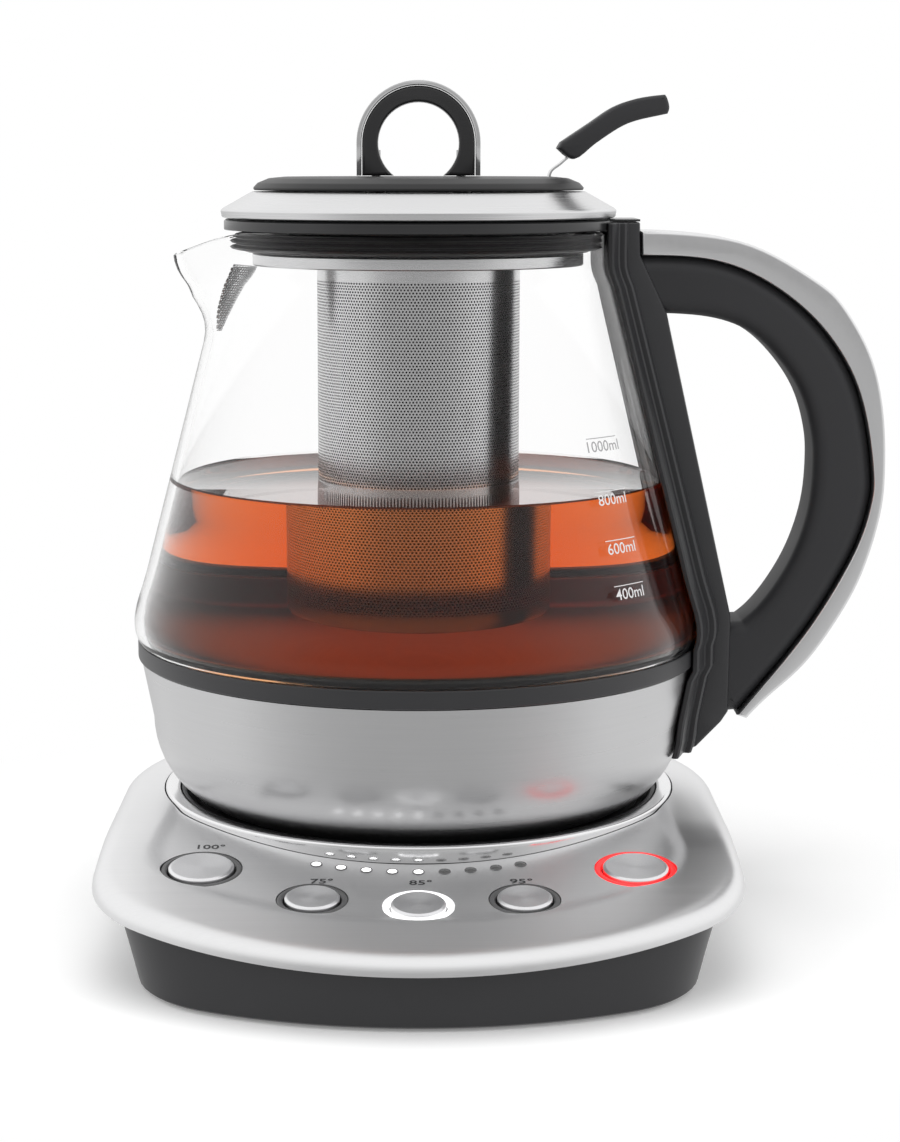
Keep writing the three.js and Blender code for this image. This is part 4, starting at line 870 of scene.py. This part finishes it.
def build_grip():
    """The grip, whose ends run a little way into the spine, and the steel strip round its back."""
    sunk = 4.6
    corner = (spine_face(GRIP_TOP_Z) + 0.3, GRIP_FOOT_Z)
    outer = eased(smooth_curve(within(corner, (GRIP_REACH, GRIP_TOP_Z), GRIP_SHARES), 6), 6)
    opening = within((69.6, MOUTH_FOOT_Z), (MOUTH_REACH, MOUTH_TOP_Z), OPENING_SHARES)
    inside = eased(smooth_curve(opening, 6), 6)
    start = (outer[0][0] - sunk, GRIP_TOP_Z)
    low, mouth = ((spine_face(z) - sunk, z) for z in (GRIP_FOOT_Z, MOUTH_FOOT_Z))
    outline = [start] + outer[:-1] + [low, mouth] + inside[1:-1][::-1] + [(69.9 - sunk, MOUTH_TOP_Z)]
    make("grip", *slab(outline, 22, 4.2, 7), "jug", black_soft, "soft_black_grip", ["handle_grip"], smooth=50)
    box = ((spine_face(TRIM_TOP_Z) + 0.3, TRIM_FOOT_Z), (TRIM_REACH, TRIM_TOP_Z))
    strip = smooth_curve(within(*box, TRIM_SHARES), 6)
    strip = eased([(min(x, TRIM_REACH - 0.05), z) for x, z in strip], 6)
    back = [pushed(outer, i, 0.03) for i in range(len(outer))]
    shell = slab(strip + back[::-1], 24, 0.9, 4)
    make("grip_trim", *shell, "jug", steel_band, "brushed_steel", ["handle_trim"], smooth=40)


def within(low, high, shares):
    """Shares of the box from low to high as places in it."""
    return [(low[0] + (high[0] - low[0]) * u, low[1] + (high[1] - low[1]) * v) for u, v in shares]


def pushed(points, i, distance):
    """Point i of a line, moved sideways from it."""
    (x0, z0), (x1, z1) = points[max(0, i - 1)], points[min(len(points) - 1, i + 1)]
    length = math.hypot(x1 - x0, z1 - z0)
    return (points[i][0] + distance * (z0 - z1) / length, points[i][1] + distance * (x1 - x0) / length)


build_glass()
build_bowl()
build_spine()
build_grip()

# Neck collar, lid, knob, lever, infuser and spout filter


def arch(radius, centre, foot, steps=40):
    """An upside-down U from its right foot over the top to its left foot."""
    curve = [polar(radius, math.pi * k / steps) for k in range(steps + 1)]
    return [(radius, foot), *((x, centre + z) for x, z in curve), (-radius, foot)]


def build_lid():
    rim = [(46.9, 204.0), (55.3, 199.3), (55.9, 198.7), (55.6, 197.0), (55.1, 196.7), (54.2, 196.7)]
    rim = fillet(rim + [(54.2, 197.9), (46.9, 203.0)], [0.5, 2.0, 0.5, 0.3, 0.2, 0.2, 0.2, 0.2])
    lathe("lid_ring", rim, "lid", steel_round, "brushed_steel", ["lid_rim"])
    plate = [(0, 204.3), (46.4, 204.3), (46.7, 204.9), (45.4, 206.3), (42.2, 207.6), (38, 208.0), (0, 208.0)]
    plate = fillet(plate, [0, 0.2, 0.5, 1.5, 3, 3, 0])
    top = lathe("lid_top", plate, "lid", black_lid, "black_plastic", ["lid_top_plate"])
    cut_out(top, [loose("cutter", *block_mesh((35.2, -4.7, 204.9), (38.9, 4.7, 210)))], 30)
    body = [(0, 187.1), (48.3, 187.1), (48.4, 196.9), (53.6, 196.9), (53.6, 197.6), (46.4, 202.4)]
    body = fillet(body + [(44.5, 203.2), (44.5, 190), (0, 190)], [0, 0.5, 0.3, 0.4, 0.3, 0.5, 0.3, 0.5, 0])
    lathe("lid_plug", body, "lid", gloss_black, "black_plastic", ["lid_body"])
    seal = [(48.8, 187.7)]
    for k in range(3):
        z = 187.7 + 1.7 * k
        seal += [(50.2, z), (51.6, z + 0.35), (52.15, z + 0.8), (51.6, z + 1.15), (50.2, z + 1.45)]
    lathe("lid_gasket", seal + [(48.8, 192.8)], "lid", black_rubber, "black_rubber", ["lid_seal"])
    ring = fillet([(52.6, 193.3), (55, 193.3), (55, 195.8), (54.4, 196.3), (52.6, 196.3)], 0.35)
    collar = lathe("collar", ring, "jug", gloss_black, "black_plastic", ["neck_collar"])
    merge(collar, [block_mesh((53.4, -11.4, 195.7), (61.8, 11.4, 196.3))])


def block_mesh(low, high):
    (x0, y0, z0), (x1, y1, z1) = low, high
    verts = [(x, y, z) for z in (z0, z1) for x, y in ((x0, y0), (x1, y0), (x1, y1), (x0, y1))]
    return verts, [(3, 2, 1, 0), (4, 5, 6, 7), (0, 1, 5, 4), (1, 2, 6, 5), (2, 3, 7, 6), (3, 0, 4, 7)]


def build_knob():
    foot, centre = 208.3, 217.3
    core = arch(15.8, centre, foot)
    hole_r = 11.4
    mouth = math.asin((centre - foot) / hole_r)
    hole = [polar(hole_r, math.pi + mouth - (math.pi + 2 * mouth) * k / 48) for k in range(49)]
    hole = [(x, centre + z) for x, z in hole]
    shell = slab(core + hole, 10, 0.8, 4)
    make("knob", *shell, "lid", gloss_black, "black_plastic", ["knob_core"], smooth=40)
    band = arch(17.4, centre, foot) + arch(16.1, centre, foot)[::-1]
    shell = slab(band, 10.7, 0.25, 2)
    make("knob_rim", *shell, "lid", steel_bright, "brushed_steel", ["knob_band"], smooth=40)


LEVER_PIN, LEVER_LOW, LEVER_HIGH = (36.6, 206.3), (39, 210), (70, 230.5)


def strip_line(thickness, steps):
    shares = [(0, 0), (0.02, 0.13), (0.1, 0.22), (0.2, 0.33), (0.42, 0.53), (0.6, 0.7)]
    line = smooth_curve(within(LEVER_PIN, LEVER_HIGH, shares), steps)
    up = [pushed(line, i, thickness / 2) for i in range(len(line))]
    down = [pushed(line, i, -thickness / 2) for i in range(len(line))]
    return up + down[::-1]


def build_lever():
    shell = slab(strip_line(0.6, 6), 8, 0.1, 1)
    body = "thumb_lever"
    strip = make("lever_spring", *shell, body, steel_band, "brushed_steel", ["lever_strip"], smooth=40)
    verts, faces = rod(1, -4, 4, 20)
    merge(strip, [([(x + LEVER_PIN[0], z, y + LEVER_PIN[1]) for x, y, z in verts], faces)])
    upper = [(0.03, 0.37), (0.29, 0.63), (0.5, 0.84), (0.7, 0.95), (0.92, 1)]
    upper += [(0.97, 0.985), (1, 0.84), (0.985, 0.75)]
    lower = [(0.89, 0.72), (0.7, 0.655), (0.55, 0.56), (0.34, 0.35), (0.15, 0.14), (0, 0.29)]
    outline = []
    for shares in (upper, lower):
        outline += smooth_curve(within(LEVER_LOW, LEVER_HIGH, shares), 4)
    outline = [p for i, p in enumerate(outline) if (Vector(p) - Vector(outline[i - 1])).length > 0.05]
    shell = slab(outline, 13, 1.1, 4)
    make("lever_pad", *shell, body, black_soft, "soft_black_grip", ["lever_grip"], smooth=35)


def pierced(name, radius, pitch, low, high):
    """Steel with rows of fine round holes between two heights. The holes are not cut: they are painted shade,
    near-black dull spots for the dark inside seen through them.
    """
    shade = Shade(name, STEEL, 0.28, 1.0)
    x, y, z = shade.place()
    turn = shade.math("ARCTAN2", y, x)
    count = round(TAU * radius / pitch)
    row = shade.math("DIVIDE", z, pitch * 0.87)
    shift = shade.times(shade.math("MODULO", shade.math("FLOOR", row), 2.0), 0.5)
    along = shade.math("ADD", shade.times(turn, count / TAU), shift)
    u = shade.math("SUBTRACT", shade.math("FRACT", along), 0.5)
    v = shade.times(shade.math("SUBTRACT", shade.math("FRACT", row), 0.5), 0.87)
    hole = shade.math("LESS_THAN", shade.reach(u, v), 0.3)
    band = shade.times(shade.math("GREATER_THAN", z, low), shade.math("LESS_THAN", z, high))
    painted_hole_shade = shade.times(hole, band)
    grain = (shade.times(value, rate) for value, rate in ((x, 0.3), (y, 0.3), (z, 4.0)))
    lines = shade.noise(shade.vector(*grain), 1.0, 2.0)
    steel = shade.blend(lines, (0.6, 0.6, 0.605), (0.72, 0.72, 0.725))
    # painted shade: near black, rough and not metal where the holes are, for the dark inside seen through
    # them
    shade.set(Base_Color=shade.blend(painted_hole_shade, steel, (0.012, 0.012, 0.013)))
    shade.set(Roughness=shade.spread(painted_hole_shade, 0.24, 0.8))
    shade.set(Metallic=shade.math("SUBTRACT", 1.0, painted_hole_shade))
    return shade.material


def mesh_cloth(name, pitch):
    """Woven steel wire."""
    shade = Shade(name, (0.32, 0.32, 0.325), 0.35, 1.0)
    x, y, z = shade.place()
    phases = (shade.times(value, math.pi / pitch) for value in (y, z))
    across, up = [shade.math("ABSOLUTE", shade.math("SINE", phase)) for phase in phases]
    open_across, open_up = (shade.math("GREATER_THAN", wave, 0.55) for wave in (across, up))
    gap = shade.times(open_across, open_up)
    shade.set(Base_Color=shade.blend(across, (0.2, 0.2, 0.205), (0.42, 0.42, 0.425)))
    shade.set(Alpha=shade.math("SUBTRACT", 1.0, gap))
    shade.bump(shade.times(across, up), 0.5, 0.0001)
    return shade.material


def build_infuser():
    head = [(29.1, 183.4), (46.4, 183.4), (46.7, 183.7), (46.7, 186.5), (46.4, 186.8), (28.0, 186.8)]
    head = fillet(head + [(28.0, 185.8), (29.1, 185.8)], [0.1, 0.2, 0.3, 0.3, 0.2, 0.2, 0.1, 0.1])
    lathe("infuser_head", head, "infuser", steel_round, "brushed_steel", ["infuser_collar"], 192)
    radius, bore = 28.8, 28.0
    wall = [(0, 80), (26.4, 80), (bore, 80.6), (radius, 82.4)]
    wall += [(radius, 82.4 + (185.5 - 82.4) * k / 8) for k in range(1, 9)]
    inside = [(bore, 185.5)] + [(bore, 82.8 + (185 - 82.8) * k / 8) for k in range(7, -1, -1)]
    inside += [(27.4, 81.4), (26.2, 80.8), (0, 80.8)]
    holes = pierced("pierced_steel", radius, 0.95, 85.5, 179.5)
    lathe("infuser_sieve", wall + inside, "infuser", holes, "brushed_steel", ["infuser_basket"], 192)


def build_filter():
    """A half cone of wire cloth inside the spout, wide at the top."""
    rows, steps, tip = 14, 20, 0.15
    top_z, drop, bow, half_angle, thick = 182.8, 21.5, 6.2, math.radians(11), 0.5
    rings = []
    for i in range(rows + 1):
        share = (i / rows) * (1 - tip)
        z = top_z - drop * share
        near = 1 - share
        wall = glass_radius(z) - GLASS_WALL - 0.3
        ring = []
        for inset in (0.0, thick):
            line = []
            for k in range(steps + 1):
                off = (k / steps) * 2 - 1
                turn = math.pi + half_angle * off * max(near, tip)
                reach = wall - bow * near * (1 - off * off) - inset
                line.append((*polar(reach, turn), z))
            ring += line if inset == 0 else line[::-1]
        rings.append(ring)
    cloth = mesh_cloth("wire_cloth", 0.7)
    make("spout_mesh", *tube(rings, closed=False), "jug", cloth, "brushed_steel", ["spout_filter"], smooth=50)


build_lid()
build_knob()
build_lever()
build_infuser()
build_filter()

# Numbers on the panel and the glass


def text_mesh(text, size, widen, weight):
    """Vertices (x, y) and faces of a line of text, centred on x, standing on y = 0."""
    curve = bpy.data.curves.new("text", "FONT")
    curve.body = text
    curve.size = size
    curve.align_x = "CENTER"
    curve.offset = weight
    curve.resolution_u = 3
    carrier = in_scene("text", curve)
    mesh = final_mesh(carrier)
    verts = [(v.co.x * widen, v.co.y) for v in mesh.vertices]
    faces = [tuple(p.vertices) for p in mesh.polygons]
    bpy.data.objects.remove(carrier)
    bpy.data.curves.remove(curve)
    bpy.data.meshes.remove(mesh)
    return verts, faces


def ink(name, color):
    shade = Shade(name, color, 0.5)
    shade.set(Base_Color=shade.blend(shade.cloud(2.0, 2.0), scaled(color, 0.9), color))
    return shade.material


def build_numbers():
    dark = ink("panel_ink", (0.03, 0.03, 0.032))
    lift = 0.05
    places = (("100°", -56.0, -64.4), ("75°", -25.2, -85.7), ("85°", 0.6, -86.6), ("95°", 26.8, -85.7))
    for text, x, y in places:
        verts, faces = text_mesh(text, 3.7, 1.2, 0.055)
        placed = [(x + u, y + v, plate_height(x + u, y + v) + lift) for u, v in verts]
        make("number_" + text[:-1], placed, faces, "base", dark, smooth=None)


def build_marks():
    """The volumes on the glass, each under a fine line. Those far above the liquid get a grey copy of the
    white ink, painted shade for how the white print looks there.
    """
    white, grey = ink("glass_ink", (0.76, 0.76, 0.76)), ink("glass_ink_painted_shade", (0.36, 0.36, 0.365))
    half, thin, steps, lift, drop = 6.2, 0.12, 12, 0.06, 3.7
    side = math.radians(-43)
    for text, z in (("1000ml", 139.0), ("800ml", 125.0), ("600ml", 112.1), ("400ml", 100.2)):
        verts, faces = text_mesh(text, 4.2, 1.15, 0.02)
        start = len(verts)
        verts = [(u, v - drop) for u, v in verts]
        for k in range(steps + 1):
            u = -half + 2 * half * k / steps
            verts += [(u, -thin), (u, thin)]
        corners = (start + 2 * k for k in range(steps))
        faces += [(corner, corner + 2, corner + 3, corner + 1) for corner in corners]
        placed = []
        for u, v in verts:
            height = z + v * 0.97
            radius = glass_radius(height) + lift
            placed.append((*polar(radius, side + u / radius), height))
        # painted shade: the grey ink is the same white print, made darker where it stands far above the
        # liquid
        make("mark_" + text[:-2], placed, faces, "jug", grey if z > LEVEL_Z + 10 else white, smooth=None)


build_numbers()
build_marks()

# What stays of the frame: the hidden pieces, with a finish for each slot

HIDDEN = {
    "brushed_steel": steel_bowl,
    "black_plastic": black_shell,
    "soft_black_grip": black_soft,
    "black_rubber": black_rubber,
    "light_guide": glowing("light_guide", (0.5, 0.5, 0.5), (0.5, 0.5, 0.5), 0.0),
    "circuit_board": moulded("circuit_board", (0.02, 0.1, 0.04), 0.4),
    "zinc_plated_steel": brushed("zinc_plate", (0.5, 0.5, 0.5), 0.38, (1.0, 1.0, 1.0)),
}
slots = {entry["node"]: entry["material_slot"] for entry in frame["record"]["subparts"]}
for node, piece in frame["nodes"].items():
    finish = HIDDEN.get(slots[node])
    if finish and not piece.material_slots:
        piece.data.materials.append(finish)
    elif finish:
        for held in piece.material_slots:
            held.material = finish

# Floor, light and camera

FADE_START, FADE_END = 105, 215  # where the floor turns plain white, in millimetres from the jug's axis
FLOOR_LIFT, WORLD_LIGHT, WALL_LIMIT = 0.12, 0.6, 1.15
# How bright metal sees the studio, from the front (0) round to the back (1)
FLOOR_STUDIO = [(0.0, 0.54), (0.08, 0.6), (0.3, 0.92), (0.75, 0.92), (0.93, 0.7), (1.0, 0.58)]
WALL_STUDIO = [(0.0, 0.38), (0.1, 0.44), (0.3, 0.88), (0.75, 1.0), (0.93, 0.94), (1.0, 0.88)]


def studio_ramp(nodes, stops):
    """A grey ramp with stops of (place, level)."""
    around = nodes.new("ShaderNodeValToRGB")
    ramp = around.color_ramp
    while len(ramp.elements) < len(stops):
        ramp.elements.new(0.5)
    for stop, (where, level) in zip(ramp.elements, stops):
        stop.position = where
        stop.color = (level, level, level, 1)
    return around


def build_floor():
    """A white floor with the shadow near the kettle. It fades to white, and mirrors see the studio."""
    mesh = bpy.data.meshes.new("floor")
    size = 6.0
    corners = [(-size, -size, 0), (size, -size, 0), (size, size, 0), (-size, size, 0)]
    mesh.from_pydata(corners, [], [(0, 1, 2, 3)])
    floor = in_scene("floor", mesh)
    shade = Shade("floor", (0.93, 0.93, 0.93), 0.9, Specular_IOR_Level=0.0)
    x, y, _ = shade.place()
    away = shade.reach(x, y)
    far = shade.node("MapRange", interpolation_type="SMOOTHSTEP")
    shade.give(far, Value=away, From_Min=FADE_START, From_Max=FADE_END)
    plain, mirrored, lifted = (shade.node("Emission") for _ in range(3))
    lifted.inputs["Strength"].default_value = FLOOR_LIFT
    around = studio_ramp(shade.nodes, FLOOR_STUDIO)
    shade.link(shade.math("MULTIPLY_ADD", shade.math("DIVIDE", y, away), 0.5, 0.5), around.inputs[0])
    shade.link(around.outputs[0], mirrored.inputs["Strength"])
    near = shade.node("AddShader")
    feed(shade.tree, near.inputs, (shade.shader.outputs[0], lifted.outputs[0]))
    seen = mix(shade.tree, far.outputs[0], near.outputs[0], plain.outputs[0])
    mirrors = reflected(shade.tree, shade.math("LESS_THAN", y, 0.0))
    shade.link(mix(shade.tree, mirrors, seen, mirrored.outputs[0]), shade.out.inputs[0])
    mesh.materials.append(shade.material)


def reflected(tree, in_front):
    """1 for a ray that a surface mirrored, and for one through glass that ends in front of the kettle."""
    path = tree.nodes.new("ShaderNodeLightPath")
    glossy, clear = path.outputs["Is Glossy Ray"], path.outputs["Is Transmission Ray"]
    mirrored = node_math(tree, "MAXIMUM", node_math(tree, "SUBTRACT", glossy, clear), 0.0)
    return node_math(tree, "MAXIMUM", mirrored, node_math(tree, "MULTIPLY", clear, in_front))


def build_world():
    """Plain white to the camera. Reflections show a studio that is grey in front and bright above."""
    world = bpy.data.worlds.new("studio")
    bpy.context.scene.world = world
    world.use_nodes = True
    tree = world.node_tree
    nodes, links = tree.nodes, tree.links
    nodes.clear()
    out = nodes.new("ShaderNodeOutputWorld")
    lit, seen, mirrored = (nodes.new("ShaderNodeBackground") for _ in range(3))
    for background, strength in ((lit, WORLD_LIGHT), (seen, 1.0), (mirrored, 1.0)):
        feed(tree, background.inputs, ((1, 1, 1, 1), strength))
    parts = nodes.new("ShaderNodeSeparateXYZ")
    links.new(nodes.new("ShaderNodeTexCoord").outputs["Generated"], parts.inputs[0])
    around = studio_ramp(nodes, WALL_STUDIO)
    links.new(node_math(tree, "MULTIPLY_ADD", parts.outputs[1], 0.5, 0.5), around.inputs[0])
    above = node_math(tree, "MAXIMUM", parts.outputs[2], 0.0)
    bright = node_math(tree, "MULTIPLY_ADD", above, 0.5, around.outputs[0])
    links.new(node_math(tree, "MINIMUM", bright, WALL_LIMIT), mirrored.inputs["Strength"])
    path = nodes.new("ShaderNodeLightPath")
    through = node_math(tree, "MAXIMUM", path.outputs["Is Camera Ray"], path.outputs["Is Transmission Ray"])
    plain = mix(tree, through, lit.outputs[0], seen.outputs[0])
    mirrors = reflected(tree, node_math(tree, "LESS_THAN", parts.outputs[1], 0.1))
    links.new(mix(tree, mirrors, plain, mirrored.outputs[0]), out.inputs[0])


def lamp(name, place, target, size, power):
    data = bpy.data.lights.new(name, "AREA")
    data.shape = "RECTANGLE"
    data.size, data.size_y = size
    data.energy = power
    light = in_scene(name, data)
    light.location = place
    light.rotation_euler = (Vector(target) - Vector(place)).to_track_quat("-Z", "Y").to_euler()
    light.visible_glossy = False
    light.visible_transmission = False


def build_camera():
    distance, height, pitch = 704.0, 211.5, 9.39
    focal, aside, tall, sensor = 2461.0, 31.5, 1142, 36.0  # sensor in mm, the rest in pixels
    data = bpy.data.cameras.new("camera")
    data.sensor_fit = "AUTO"
    data.sensor_width = sensor
    data.lens, data.shift_x = focal / tall * sensor, aside / tall
    data.clip_start, data.clip_end = 0.05, 50
    camera = in_scene("camera", data)
    camera.location = to_frame((0, -distance, height))
    camera.rotation_euler = (math.radians(90 - pitch), 0, 0)
    bpy.context.scene.camera = camera


build_floor()
build_world()
lamp("top", (-0.1, -0.1, 1.3), (0, 0, 0.1), (1.1, 1.1), 8.5)
lamp("left", (-1.2, -0.6, 0.7), (0, 0, 0.12), (0.5, 1.0), 5)
lamp("right", (1.2, -0.6, 0.7), (0, 0, 0.12), (0.5, 1.0), 5)
build_camera()

bpy.context.scene.view_settings.view_transform = "Standard"
